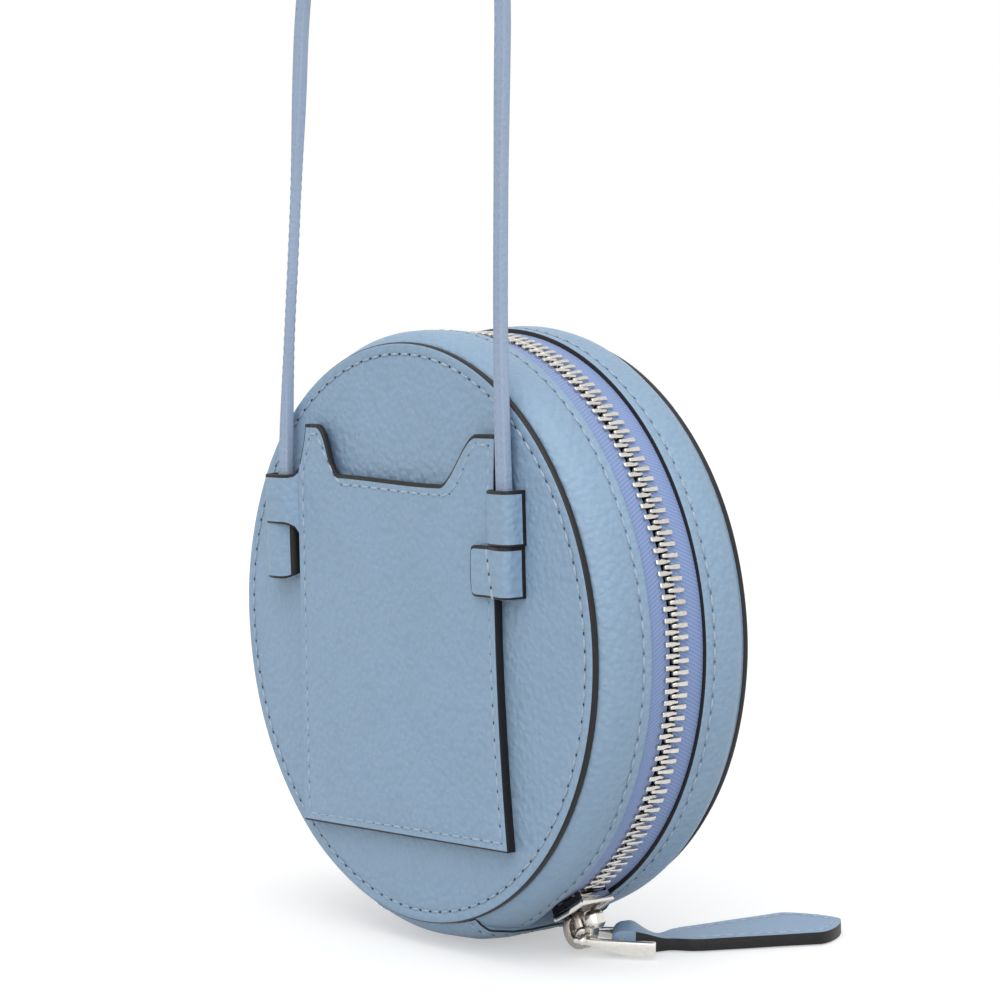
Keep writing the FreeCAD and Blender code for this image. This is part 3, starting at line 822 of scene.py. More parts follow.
def zip_band(half, side, body):
    piece = turned(f"{half}_rim_band", mirrored(band_profile(), side), -BAND_END, BAND_END)
    dressed(piece, calf, black_edge)
    painted(piece, lambda middle, _: abs(middle.y - AXIS.y) < ZIP_EDGE + BAND_PAINT[half])
    swelled(piece, band_push)
    soften(piece, 0.1 * MM, 16 * MM, 5.7 * side)
    smooth(piece)
    placed(piece, body, "panel_leather", f"{half}_zip_band")
    seam = ZIP_EDGE + BAND_SEAM
    line = []
    for i in range(RIM_STEPS + 1):
        clock = (BAND_END - BAND_SEAM_SHORT) * (2 * i / RIM_STEPS - 1)
        radius = CROWN + band_push(clock) * zip_share(seam) - TOUCH
        line.append((rim_point(clock, radius, side * seam), rim_out(clock)))
    sewn(f"{half}_band_stitches", line, body, "panel_leather", hole=faint_hole_shade)


for half in HALVES:
    zip_band(*half)


# Base of the rim: one thicker piece across both bands' ends, its own ends painted

BASE_PAINT = 0.5 * MM
BASE_SWELL = 1.1 * MM
BASE_SAG = 0.7 * MM
BASE_SAG_RUN = math.radians(10)
BASE_FIRST = BAND_END + 0.002
BASE_CLOTH_FIRST = BAND_END + 0.004


def base_outer():
    """Radius and depth across the base's outer face, back to front."""
    half = beside(BASE_CROWN, 0, [(0, 0), (0.1, 5), (0.1, 10)])
    half += beside(BASE_CROWN, RIM_SHOULDER, [(0, -0.6), (-0.35, 0.5), (-1.1, 1.5), (-1.9, 2.4)])
    half.append((CROWN - 2.0 * MM, INNER_FACE - TOUCH))
    return mirrored(reversed(half[1:]), -1) + half


def base_push(clock):
    """How far the base stands out at the zip: swollen all along, and sagging below the bands' ends."""
    return BASE_SWELL + BASE_SAG * eased((abs(clock) - BAND_END) / BASE_SAG_RUN)


def base_end(middle, normal):
    """Whether a face is one of the base's end walls, which look along the rim."""
    clock = rim_clock(middle)
    return abs(normal.dot(Vector((math.cos(clock), 0, -math.sin(clock))))) > 0.9


def base_gusset():
    outer = base_outer()
    under = CROWN - BAND_LEATHER
    inner = [(under, RIM_SHOULDER), (under, -RIM_SHOULDER)]
    piece = turned("folding_base", outer + inner, BASE_FIRST, 2 * math.pi - BASE_FIRST, 40)
    dressed(piece, calf, black_edge)
    painted(piece, base_end)
    # Only a border of each end wall keeps its paint.
    choose(piece, base_end)
    bpy.ops.mesh.inset(thickness=BASE_PAINT, use_even_offset=True)
    leave()
    for face in piece.data.polygons:
        if face.select:
            face.material_index = 0
    rounded(piece, 0.22 * MM, 2, 60)
    swelled(piece, base_push)
    soften(piece, 0.08 * MM, 14 * MM, 9.3)
    smooth(piece, 45)
    placed(piece, FOLDING, "panel_leather", "base_gusset")
    for hand, sign in (("right", 1), ("left", -1)):
        clock = sign * (BASE_FIRST + BAND_SEAM / BASE_CROWN)
        push, out = base_push(clock), rim_out(clock)
        line = [(rim_point(clock, radius + push * zip_share(depth) + TOUCH, depth), out)
                for radius, depth in outer]
        sewn(f"base_stitches_{hand}", line, FOLDING, "panel_leather")


base_gusset()


# Cloth lining of both halves and the base

LINING_SAG = 0.5 * MM
RIM_LINING_SAG = 0.25 * MM


def depths(node_name):
    """The nearer and farther depth of a node from the drum's middle plane, and its widest radius."""
    low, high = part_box(node_name)
    return *sorted(abs(y - AXIS.y) for y in (low.y, high.y)), high.x


def cloth(name, profile, body, node_name, wave=None, **spin):
    """A lining piece, softened by a height, a span and a seed."""
    piece = turned(name, profile, **spin)
    if wave:
        soften(piece, *wave)
    dressed(piece, lining)
    smooth(piece)
    return placed(piece, body, "lining_cloth", node_name)


def linings(half, side, body):
    near, far, radius = depths(f"{half}_lining")
    disc = [(0.0, far), (radius, far), (radius, near)]
    disc += [(radius * (1 - i / 10), near - LINING_SAG * math.sin(math.pi * i / 10)) for i in range(1, 11)]
    piece = cloth(f"{half}_face_cloth", mirrored(disc, side), body, f"{half}_lining",
                  (0.35 * MM, 14 * MM, 4.2 * side), closed=False, steps=96)
    near, far, top = depths(f"{half}_band_lining")
    ring = [(top, near), (top, far), (top - LINING_CLOTH, far)]
    ring += [(top - LINING_CLOTH - RIM_LINING_SAG * math.sin(math.pi * i / 5), far + (near - far) * i / 5)
             for i in range(1, 6)]
    cloth(f"{half}_rim_cloth", mirrored(ring, side), body, f"{half}_band_lining",
          (0.2 * MM, 12 * MM, 6.4 * side), first=-BAND_END, last=BAND_END, steps=120)


def base_lining():
    low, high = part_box("base_lining")
    half = (high.y - low.y) / 2
    top = AXIS.z - low.z
    rows = [(top, half * (i / 4 - 1)) for i in range(9)]
    rows += [(top - LINING_CLOTH, half * (1 - i / 4)) for i in range(9)]
    piece = cloth("base_cloth", rows, FOLDING, "base_lining", first=BASE_CLOTH_FIRST,
                  last=2 * math.pi - BASE_CLOTH_FIRST, steps=24)


for half in HALVES:
    linings(*half)
base_lining()


# Zip tapes and teeth

TAPE_RISE = {"back": 0.6 * MM, "front": 0.4 * MM}
TAPE_PAST_EDGE = 1.0 * MM
TOOTH_WIDTH = 1.05 * MM
TOOTH_HEIGHT = 2.6 * MM
TOOTH_CROSS = 0.9 * MM
TOOTH_TAIL = 3.05 * MM
TOOTH_WAIST = 0.35 * MM
TOOTH_HEEL = 1.5 * MM
TOOTH_HEAD = -0.5 * MM
TAPE_MIDDLE = TAPE_TOP - TAPE_CLOTH / 2


def zip_tape(half, side, body):
    top, foot, edge, rise = TAPE_TOP, TAPE_TOP - TAPE_CLOTH, TAPE_EDGE - TAPE_PAST_EDGE, TAPE_RISE[half]
    rows = beside(top, edge, [(0, 0.25)]) + beside(top + 0.2 * rise, edge, [(0, 1.6)])
    rows.append((top + 0.65 * rise, (edge + ZIP_EDGE) / 2))
    rows += beside(top + rise, ZIP_EDGE, [(0, -0.1), (0, 0.15)]) + beside(top, ZIP_EDGE, [(0, 0.3)])
    rows += [(top, TAPE_TUCK), (foot, TAPE_TUCK), (foot, ZIP_EDGE)]
    rows += beside(foot, edge, [(0, 0.25)]) + [(TAPE_MIDDLE, edge)]
    piece = turned(f"{half}_twill_tape", mirrored(rows, side), -TAPE_END, TAPE_END)
    dressed(piece, zip_twill)
    unrolled(piece, lambda p: rim_clock(p) * TAPE_TOP, lambda p: (p.y - AXIS.y) * side)
    smooth(piece)
    placed(piece, body, "zip_tape", f"{half}_zip_tape")


def tooth_model():
    """One pressed tooth lying along Y, its head below zero: a waisted bar with a rounded head."""
    length = TOOTH_TAIL + TOOTH_CROSS
    model = fresh("tooth", bpy.ops.mesh.primitive_cube_add, size=1.0)
    enter()
    bpy.ops.transform.resize(value=(TOOTH_WIDTH, length, TOOTH_HEIGHT))
    bpy.ops.transform.translate(value=(0, length / 2 - TOOTH_CROSS, 0))
    for cut in (TOOTH_WAIST, TOOTH_HEEL):
        sliced((0, cut, 0), (0, 1, 0))
    leave()
    choose(model, lambda co: abs(co.y - TOOTH_WAIST) < TOUCH / 2, "VERT")
    bpy.ops.transform.resize(value=(0.8, 1, 0.86))
    leave()
    choose(model, lambda co: co.y < TOOTH_HEAD, "VERT")
    bpy.ops.transform.resize(value=(0.86, 1, 0.78))
    leave()
    rounded(model, 0.2 * MM, 1, 30)
    dressed(model, tooth_nickel)
    return model


def zip_teeth():
    model = tooth_model()
    step = TOOTH_PITCH / TAPE_MIDDLE
    count = int((TEETH_LAST - TEETH_FIRST) / step)
    for (half, side, body), lead in zip(HALVES, (0.0, step / 2)):
        places = []
        for i in range(count):
            clock = TEETH_FIRST + lead + i * step
            out, tail = rim_out(clock), Vector((0, side, 0))
            turn = Matrix((tail.cross(out), tail, out)).transposed()
            places.append(Matrix.Translation(rim_point(clock, TAPE_MIDDLE, 0)) @ turn.to_4x4())
        piece = copied(f"{half}_teeth_row", model, places)
        smooth(piece, 35)
        placed(piece, body, "zip_metal", f"{half}_zip_teeth")
    bpy.data.objects.remove(model, do_unlink=True)


for half in HALVES:
    zip_tape(*half)
zip_teeth()
for look, names in ((tooth_nickel, ("back_top_stop", "front_top_stop", "bottom_stop")),
                    (board, ("back_board", "front_board")), (puller_nickel, ("puller_crossbar",))):
    for node_name in names:
        dressed(frame["nodes"][node_name], look)


# Slip pocket: a scooped face over a hem, open at the top. Distances run from the pocket's middle.

POCKET_LEFT_TOP = 30.8 * MM
POCKET_LEFT_FOOT = 35.5 * MM
POCKET_RIGHT_WAIST = 36.4 * MM
POCKET_BOW = 7.0 * MM
POCKET_SAG = 2.3 * MM
EAR_LEFT_LIFT = 1.5 * MM
EAR_RIGHT_LESS = 0.9 * MM
EAR_INNER = 29.2 * MM
SCOOP_HALF = 17.8 * MM
SCOOP_MIDDLE = 2.6 * MM
SCOOP_DROP = 10.8 * MM
HEM_WIDTH = 4.5 * MM
HEM_INSET = 0.6 * MM
POCKET_SWELL = 0.7 * MM
POCKET_SWELL_RUN = 9 * MM
POCKET_GROOVE = 0.2 * MM
POCKET_GROOVE_HALF = 0.55 * MM
POCKET_FOOT_PAINT = 0.45 * MM
POCKET_MOUTH_PAINT = 0.8 * MM
POCKET_COLUMNS = 140
POCKET_ROWS = 130


def pocket_up(z):
    return (z - pocket_low.z) / (pocket_high.z - pocket_low.z)


def pocket_left_at(z):
    """The left edge leans in, most beside the ear."""
    lean = 0.3 * pocket_up(z) + 0.7 * eased((pocket_up(z) - 0.86) / 0.16)
    return -(POCKET_LEFT_FOOT + (POCKET_LEFT_TOP - POCKET_LEFT_FOOT) * lean)


def pocket_right_at(z):
    """The right edge is drawn in at its waist, where the keeper pulls on it."""
    return POCKET_RIGHT_WAIST + POCKET_BOW * (pocket_up(z) - 0.55) ** 2


def pocket_top_at(x):
    """The mouth: an ear at each side, the left one higher, and the scoop between them."""
    lifted = EAR_LEFT_LIFT - EAR_RIGHT_LESS * eased((x + 16 * MM) / (34 * MM))
    past = (abs(x - SCOOP_MIDDLE) - SCOOP_HALF) / (EAR_INNER - SCOOP_HALF)
    return pocket_high.z + lifted - SCOOP_DROP * (1 - eased(past))


def pocket_foot_at(x):
    return pocket_low.z - POCKET_SAG * (0.5 - x / (2 * POCKET_RIGHT_WAIST))


def pocket_face_at(x, z):
    """The outer face's depth: swollen, and drawn in along the sewn edges."""
    left, right = pocket_left_at(z), pocket_right_at(z)
    across = (2 * x - left - right) / (right - left)
    swell = POCKET_SWELL * max(0.0, 1 - across ** 2) * (0.25 + 0.75 * pocket_up(z))
    inset = min(x - left, right - x, z - pocket_foot_at(x))
    groove = POCKET_GROOVE * math.exp(-((inset - POCKET_SEAM) / POCKET_GROOVE_HALF) ** 2)
    return pocket_low.y - swell * eased(inset / POCKET_SWELL_RUN) + groove


def pocket_face():
    piece = fresh("pocket_leather", bpy.ops.mesh.primitive_grid_add, x_subdivisions=POCKET_COLUMNS,
                  y_subdivisions=POCKET_ROWS, size=1.0, rotation=(math.radians(90), 0, 0))
    dressed(piece, calf, black_edge)
    row_share, column_share = 1 / POCKET_ROWS, 1 / POCKET_COLUMNS
    # The foot and mouth rows take the edge paint, the foot row also as painted shade under the pocket's edge;
    # the top tenth of the left column is painted black as shade between the strap and the pocket's edge.
    painted(piece, lambda middle, _: not row_share - 0.5 < middle.z < 0.5 - row_share
            or middle.x < column_share - 0.5 and middle.z > 0.4)
    left, right = pocket_left_at(pocket_high.z), pocket_right_at(pocket_high.z)
    for vert in piece.data.vertices:
        share, row = vert.co.x + 0.5, round((vert.co.z + 0.5) * POCKET_ROWS)
        top = pocket_top_at(left + (right - left) * share)
        base = pocket_foot_at(left + (right - left) * share)
        # The first and last rows are as tall as the paint that rounds the foot and the mouth.
        foot, mouth = base + POCKET_FOOT_PAINT, top - POCKET_MOUTH_PAINT
        z = foot + (mouth - foot) * (row - 1) / (POCKET_ROWS - 2)
        z = base if row == 0 else top if row == POCKET_ROWS else z
        x = pocket_left_at(z) + (pocket_right_at(z) - pocket_left_at(z)) * share
        vert.co = (POCKET_MIDDLE + x, pocket_face_at(x, z), z)
    modified(piece, "SOLIDIFY", thickness=pocket_high.y - pocket_low.y, offset=-1, material_offset_rim=1)
    rounded(piece, 0.3 * MM, 2, 60)
    painted(piece, lambda _, normal: 0.1 < normal.y < 0.96)
    soften(piece, 0.12 * MM, 20 * MM, 1.7)
    smooth(piece, 60)
    placed(piece, "bag_body", "panel_leather", "pocket_face")


def pocket_hem():
    """The leather that stands the pocket off the panel, on three sides."""
    rows = [pocket_low.z + (pocket_high.z - 0.2 * MM - pocket_low.z) * i / 10 for i in range(11)]
    raised_rows = [max(z, pocket_low.z + HEM_WIDTH) for z in rows]
    left = [pocket_foot_at(-POCKET_RIGHT_WAIST)] + rows[1:]
    corners = [(pocket_right_at(z) - HEM_INSET, z) for z in reversed(rows)]
    corners += [(pocket_left_at(z), z) for z in left]
    corners += [(pocket_left_at(z) + HEM_WIDTH, z) for z in reversed(raised_rows)]
    corners += [(pocket_right_at(z) - HEM_WIDTH, z) for z in raised_rows]
    depth = hem_high.y - 0.1 * MM
    piece = drawn("pocket_stand", [Vector((POCKET_MIDDLE + x, depth, z)) for x, z in corners], closed=True)
    bpy.ops.mesh.select_all(action="SELECT")
    bpy.ops.mesh.edge_face_add()
    extrude((0, hem_low.y - hem_high.y, 0))
    leave()
    tidy_mesh(piece)
    dressed(piece, calf, black_edge)
    painted(piece, lambda _, normal: abs(normal.y) < 0.5)
    smooth(piece)
    placed(piece, "bag_body", "panel_leather", "pocket_hem")


def pocket_row(name, places, hole):
    """A row of stitches on the pocket's face."""
    line = [(Vector((POCKET_MIDDLE + x, pocket_face_at(x, z) + TOUCH, z)), Vector((0, -1, 0)))
            for x, z in places]
    sewn(f"pocket_stitches_{name}", line, "bag_body", "panel_leather", hole=hole)


def pocket_stitches():
    ear_top = pocket_high.z - POCKET_SEAM
    for name, edge, inward, hole in (("right", pocket_right_at, -1, needle_hole_shade),
                                     ("left", pocket_left_at, 1, faint_hole_shade)):
        foot = pocket_foot_at(edge(pocket_low.z)) + POCKET_SEAM
        rows = [foot + (ear_top - foot) * i / 60 for i in range(61)]
        pocket_row(name, [(edge(z) + inward * POCKET_SEAM, z) for z in rows], hole)
    left, right = pocket_left_at(pocket_low.z) + POCKET_SEAM, pocket_right_at(pocket_low.z) - POCKET_SEAM
    across = [left + (right - left) * i / 60 for i in range(61)]
    pocket_row("foot", [(x, pocket_foot_at(x) + POCKET_SEAM) for x in across], faint_hole_shade)
    left, right = pocket_left_at(ear_top) + POCKET_SEAM, pocket_right_at(ear_top) - POCKET_SEAM
    places, step = [], 0.1 * MM
    for i in range(121):
        x = left + (right - left) * i / 120
        slope = (pocket_top_at(x + step) - pocket_top_at(x - step)) / (2 * step)
        drop = 1.15 * POCKET_SEAM / math.hypot(1, slope)
        places.append((x + drop * slope, pocket_top_at(x) - drop))
    pocket_row("mouth", places, faint_hole_shade)


pocket_hem()
pocket_face()
pocket_stitches()


# Strap loops: leather folded over the strap, cut edges painted. Distances run from the pocket's middle.

LOOP_LEATHER = 1.3 * MM
LOOP_STEPS = 8
LOOP_CORNER = 1.9 * MM
LOOP_TOP_PAINT = 0.75 * MM
LOOP_FOOT_PAINT = 0.5 * MM
LOOP_WALL_PAINT = 1.1 * MM
LOOP_TAB_PAINT = 0.3 * MM
LOOP_GAP = 0.05 * MM
TAB_STITCH = {"pitch": 2.9 * MM, "length": 2.4 * MM, "thick": 0.85 * MM}


def rounding(gap, radius):
    """How far a round corner draws an edge back, at a distance from the corner's side."""
    share = min(1.0, max(0.0, 1 - gap / radius))
    return radius * (1 - math.sqrt(1 - share * share))


def folded_loop(name, sign, path, low, high, swell, grown, top_paint=LOOP_TOP_PAINT,
                wall_paint=LOOP_WALL_PAINT, shaded_inside=False):
    """A strip along a path of distance and depth, raised to the loop's height, its edges then moved."""
    foot, rise = low.z + 0.1 * MM, high.z - low.z - 0.2 * MM
    piece = drawn(name, [Vector((POCKET_MIDDLE + sign * x, y, foot)) for x, y in path])
    bpy.ops.mesh.select_all(action="SELECT")
    extrude((0, 0, rise))
    cuts = [LOOP_FOOT_PAINT, rise - LOOP_TOP_PAINT]
    for cut in cuts + [rise * i / LOOP_STEPS for i in range(1, LOOP_STEPS)]:
        sliced((0, 0, foot + cut), (0, 0, 1))
    bpy.ops.mesh.select_all(action="SELECT")
    bpy.ops.mesh.normals_make_consistent(inside=False)
    leave()
    if sum(face.normal.y * face.area for face in piece.data.polygons) > 0:
        piece.data.flip_normals()
    dressed(piece, calf, black_edge)
    painted(piece, lambda middle, _: not foot + LOOP_FOOT_PAINT < middle.z < foot + rise - top_paint)
    painted(piece, lambda middle, _: middle.y > high.y - wall_paint)
    # Painted shade: where asked, the walls that face in towards the pocket are painted black.
    painted(piece, lambda _, normal: shaded_inside and sign * normal.x < -0.93)
    painted(piece, lambda middle, _: sign * (middle.x - POCKET_MIDDLE) < path[0][0] + LOOP_TAB_PAINT)
    for vert in piece.data.vertices:
        up = (vert.co.z - foot) / rise
        proud = eased((high.y - vert.co.y) / (high.y - low.y))
        top, under = grown(sign * (vert.co.x - POCKET_MIDDLE))
        vert.co.y -= swell * proud * math.sin(math.pi * up)
        vert.co.z += top * up - under * (1 - up)
    modified(piece, "SOLIDIFY", thickness=LOOP_LEATHER, offset=-1, material_offset_rim=1)
    rounded(piece, 0.28 * MM, 2, 60)
    soften(piece, 0.1 * MM, 6 * MM, 8.8 * sign)
    smooth(piece, 55)
    node_name = name.replace("upper_loop", "strap_sleeve").replace("lower_loop", "strap_keeper")
    placed(piece, "bag_body", "panel_leather", node_name)


def turned_down(end, low, high):
    """The outer end of a loop's path: round the strap's far side and straight down to the panel."""
    inside, front = end - LOOP_CORNER, low.y
    path = [(inside - 0.25 * MM, front)]
    path += [(inside + LOOP_CORNER * math.sin(a), front + LOOP_CORNER - LOOP_CORNER * math.cos(a))
             for a in (math.radians(15 * i) for i in range(7))]
    return path + [(end, high.y - up) for up in (2 * LOOP_WALL_PAINT, LOOP_WALL_PAINT, LOOP_GAP)]


def risen(edge, low):
    """The inner end of a sleeve's path: out of the pocket's face at its edge and up over the strap."""
    return (beside(edge, pocket_low.y, [(-0.6, 0.55), (-0.25, 0.35), (0.1, 0.05), (0.7, -0.5)])
            + beside(edge, low.y, [(1.6, 0.8), (2.6, 0.3), (4.0, 0.05), (5.5, 0)]))


def upper_loops():
    """Sleeves that run on from the pocket's face, the left one with rounded corners there."""
    middle = (sleeve_low.z + sleeve_high.z) / 2
    end = sleeve_high.x - POCKET_MIDDLE
    path = risen(pocket_right_at(middle) - 1.6 * MM, sleeve_low)
    path += turned_down(end - 1.4 * MM, sleeve_low, sleeve_high)
    folded_loop("right_upper_loop", 1, path, sleeve_low, sleeve_high, 0.12 * MM, lambda x: (0.0, 0.35 * MM))
    edge, raised_by = -pocket_left_at(middle), 0.6 * MM
    path = risen(edge, sleeve_low) + turned_down(end - 1.0 * MM, sleeve_low, sleeve_high)
    folded_loop("left_upper_loop", -1, path, sleeve_low, sleeve_high, 0.12 * MM,
                lambda x: (raised_by + 0.9 * rounding(x - edge, 1.8 * MM),
                           1.25 * rounding(x - edge, 2.6 * MM) - raised_by))


def right_lower_loop():
    """A keeper whose tab lies on the pocket, sewn down by a slanting row."""
    start, tab = keeper_low.x - POCKET_MIDDLE + 1.6 * MM, pocket_low.y - 1.35 * MM
    path = beside(start, tab, [(0, 0), (0.25, -0.01), (0.5, -0.02), (1.2, -0.05), (2.4, -0.05), (4.8, 0.05),
                               (6.0, 0), (7.2, -0.35)])
    path += beside(start, keeper_low.y, [(8.4, 0.35), (9.6, 0.05), (11.0, -0.1)])
    path += turned_down(keeper_high.x - POCKET_MIDDLE - 2.0 * MM, keeper_low, keeper_high)
    swell, corner = 0.25 * MM, 1.3 * MM
    folded_loop("right_lower_loop", 1, path, keeper_low, keeper_high, swell,
                lambda x: (0.15 * MM - rounding(x - start, corner), -0.7 * MM - rounding(x - start, corner)))
    line, inset = [], 0.3 * MM
    for up in (i / 8 for i in range(9)):
        x = start + (8.2 - 2.8 * up) * MM
        z = keeper_low.z + inset + (keeper_high.z - keeper_low.z - 2 * inset) * up
        (x0, y0), (x1, y1) = next(run for run in zip(path, path[1:]) if run[0][0] <= x <= run[1][0])
        y = y0 + (y1 - y0) * (x - x0) / (x1 - x0) - swell * math.sin(math.pi * up)
        line.append((Vector((POCKET_MIDDLE + x, y, z)), Vector((0, -1, 0))))
    sewn("right_lower_loop_stitches", line, "bag_body", "panel_leather", **TAB_STITCH)


def left_lower_loop():
    """A keeper like half a tube below the sleeve, its inner wall painted black beside the pocket as painted
    shade in the gap.
    """
    start, end = 36.6 * MM, keeper_high.x - POCKET_MIDDLE + 1.3 * MM
    front, back = keeper_low.y + 0.3 * MM, keeper_high.y
    path = []
    for a in (math.pi * (1 - i / 16) for i in range(17)):
        proud = (back - front) * math.sin(a) ** 0.8
        path.append(((start + end) / 2 + (end - start) / 2 * math.cos(a), back - LOOP_GAP - proud))
    # Painted shade: the inner wall and everything within 2.8 mm of the panel are black, for the shade in the
    # gap beside the pocket.
    folded_loop("left_lower_loop", -1, path, keeper_low, keeper_high, 0.1 * MM,
                lambda x: (1.7 * MM, -0.6 * rounding(min(x - start, end - x), 2.6 * MM)), top_paint=0.0,
                wall_paint=2.8 * MM, shaded_inside=True)


upper_loops()
right_lower_loop()
left_lower_loop()


# Slider: lipped plates on both sides of the chain. The bail and the nose turn on it with the lug.

SLIDER_FIRST = math.radians(146.7)
SLIDER_LAST = math.radians(155.9)
SLIDER_HALF = 4.5 * MM
SLIDER_NARROW = 0.91
SLIDER_RISE = TOOTH_HEIGHT / 2 + 2.4 * MM
SLIDER_TOP = TAPE_MIDDLE + SLIDER_RISE
SLIDER_FOOT = TAPE_MIDDLE - SLIDER_RISE
PLATE_THICK = 1.9 * MM
TRAY_DEPTH = 0.35 * MM
POST_HALF = 1.1 * MM
POST_SINK = 0.5 * MM
BAIL_WIDTH = 2.4 * MM
BAIL_THICK = 2.2 * MM
BAIL_PATH = [
    (155.3, 66.2), (156.3, 67.4), (156.9, 69.0), (156.8, 70.6), (156.1, 72.0), (155.0, 72.8),
    (153.7, 73.1), (152.5, 72.8), (151.6, 72.0), (151.0, 71.0), (150.4, 70.0),
]
BAIL_CLOCK = math.radians(150.9)
NOSE_CLOCK = math.radians(149.3)
NOSE_LEAN = math.radians(12)
NOSE_RADIUS = 69.7 * MM
NOSE_SIZE = 3.8 * MM


def block(low, high, half):
    """A rectangle's corners in radius and depth."""
    return [(low, -half), (low, half), (high, half), (high, -half)]


def slider():
    floor = SLIDER_TOP - TRAY_DEPTH
    half = [(floor, 0.0), (floor, SLIDER_HALF - 1.3 * MM)]
    half += beside(SLIDER_TOP, SLIDER_HALF, [(0.45, -0.75), (0.5, -0.2), (0.2, 0), (-0.9, 0), (-0.95, -0.3),
                                             (-2.4, -0.3), (-2.5, -0.9), (-1.9, -1.0)])
    half.append((SLIDER_TOP - PLATE_THICK, 0.0))
    tray = half + mirrored(reversed(half[1:-1]), -1)
    foot = block(SLIDER_FOOT, SLIDER_FOOT + PLATE_THICK, SLIDER_HALF)
    lip = block(SLIDER_TOP - 0.9 * MM, SLIDER_TOP + 0.65 * MM, SLIDER_HALF)
    post = block(SLIDER_FOOT + POST_SINK, SLIDER_TOP - POST_SINK, POST_HALF)
    body = joined("zip_slider", [
        turned("slider_plate", tray, SLIDER_FIRST, SLIDER_LAST, 10),
        turned("slider_under", foot, SLIDER_FIRST, SLIDER_LAST, 10),
        turned("slider_lip", lip, SLIDER_FIRST - 0.006, SLIDER_FIRST + 0.006, 3),
        turned("slider_post", post, SLIDER_LAST - 0.035, SLIDER_LAST - 0.002, 3),
    ])
    for vert in body.data.vertices:
        share = (rim_clock(vert.co) - SLIDER_FIRST) / (SLIDER_LAST - SLIDER_FIRST)
        vert.co.y = AXIS.y + (vert.co.y - AXIS.y) * (SLIDER_NARROW + (1 - SLIDER_NARROW) * eased(share))
    rounded(body, 0.16 * MM, 2, 35)
    # Painted shade and reflection: the tray's floor and everything below the lips take the darker nickel, for
    # the shadow and dark surroundings seen there on evenly plated metal.
    dressed(body, puller_nickel, tray_shade_nickel)
    painted(body, lambda middle, _: abs(rim_radius(middle) - floor) < 0.1 * MM
            and abs(middle.y - AXIS.y) < SLIDER_HALF - 1.0 * MM or rim_radius(middle) < SLIDER_TOP - 1.0 * MM)
    smooth(body, 32)
    placed(body, "slider", "puller_metal", "slider_body")


def bail_and_nose():
    """The bail that arches over the puller's pin and the faceted nose at its end."""
    points = [rim_point(math.radians(clock), radius * MM, -BAIL_WIDTH / 2) for clock, radius in BAIL_PATH]
    bail = drawn("lug_bail", points)
    bpy.ops.mesh.select_all(action="SELECT")
    extrude((0, BAIL_WIDTH, 0))
    leave()
    modified(bail, "SUBSURF", levels=2, render_levels=2)
    modified(bail, "SOLIDIFY", thickness=BAIL_THICK, offset=0)
    tidy_mesh(bail)
    rounded(bail, 0.6 * MM, 3, 50)
    nose = fresh("lug_nose", bpy.ops.mesh.primitive_cube_add, size=NOSE_SIZE,
                 location=rim_point(NOSE_CLOCK, NOSE_RADIUS, 0), rotation=(0, NOSE_CLOCK + NOSE_LEAN, 0))
    rounded(nose, 0.9 * MM, 1, 30)
    rounded(nose, 0.12 * MM, 2, 20)
    return bail, nose


slider()


# Puller: a stirrup on a pin, its arms deepest towards the open end

joints = {joint["name"]: joint for joint in frame["record"]["behaviour"]["joints"]}
PIVOT = Vector(joints["puller_swing"]["pos_m"])
PIN_WAY = Vector(joints["puller_swing"]["axis"]).normalized()
BAR_MIDDLE = Vector(joints["pull_swing"]["pos_m"])
ARM_WAY = (BAR_MIDDLE - PIVOT).normalized()
ARM_UP = ARM_WAY.cross(PIN_WAY).normalized()
ON_PULLER = Matrix.Translation(PIVOT) @ Matrix((ARM_WAY, PIN_WAY, ARM_UP)).transposed().to_4x4()
PIN_RADIUS = 0.75 * MM
PIN_HALF = 5.0 * MM
PIN_BALL = 0.95 * MM
BARREL_RADIUS = 1.7 * MM
BARREL_HALF = 2.1 * MM
LUG_POST_RADIUS = 1.35 * MM
LUG_POST_SINK = 0.2 * MM
ARM_HEEL = -2.0 * MM
ARM_REACH = 15.5 * MM
ARM_THICK = 1.5 * MM
ARM_STEPS = 14
ARM_DEEPEST = 9 * MM
FAR_SHORTER = 2.8 * MM
FAR_SUNK = 1.3 * MM


def round_bar(name, radius, half, sides):
    """A bar along the puller's pin, on the pivot, with softened ends."""
    bar = fresh(name, bpy.ops.mesh.primitive_cylinder_add, vertices=sides, radius=radius, depth=2 * half,
                rotation=(math.radians(90), 0, 0))
    rounded(bar, 0.3 * radius, 2, 60)
    bar.data.transform(ON_PULLER)
    return bar


def arm(side):
    """One arm: a bar with a straight upper edge, deepening below from heel to mouth, rounded over."""
    piece = fresh("puller_arm", bpy.ops.mesh.primitive_cube_add, size=1.0)
    enter()
    for i in range(1, ARM_STEPS):
        sliced((i / ARM_STEPS - 0.5, 0, 0), (1, 0, 0))
    leave()
    shorter, sunk = (FAR_SHORTER, FAR_SUNK) if side > 0 else (0, 0)
    for vert in piece.data.vertices:
        share = vert.co.x + 0.5
        reach = ARM_HEEL + (ARM_REACH - shorter - ARM_HEEL) * share
        middle = (3.25 + 4.0 * share + 0.3 * math.sin(math.pi * share)) * MM
        upper = 0.25 * MM + 0.075 * reach
        risen_again = 0.5 * eased((reach - ARM_DEEPEST) / (6.5 * MM))
        lower = (-1.1 - 1.1 * eased(reach / ARM_DEEPEST) + risen_again) * MM
        height = upper if vert.co.z > 0 else lower
        vert.co = (reach, side * middle + vert.co.y * ARM_THICK, height - sunk * share)
    tidy_mesh(piece)
    rounded(piece, 0.42 * MM, 3, 50)
    piece.data.transform(ON_PULLER)
    return piece


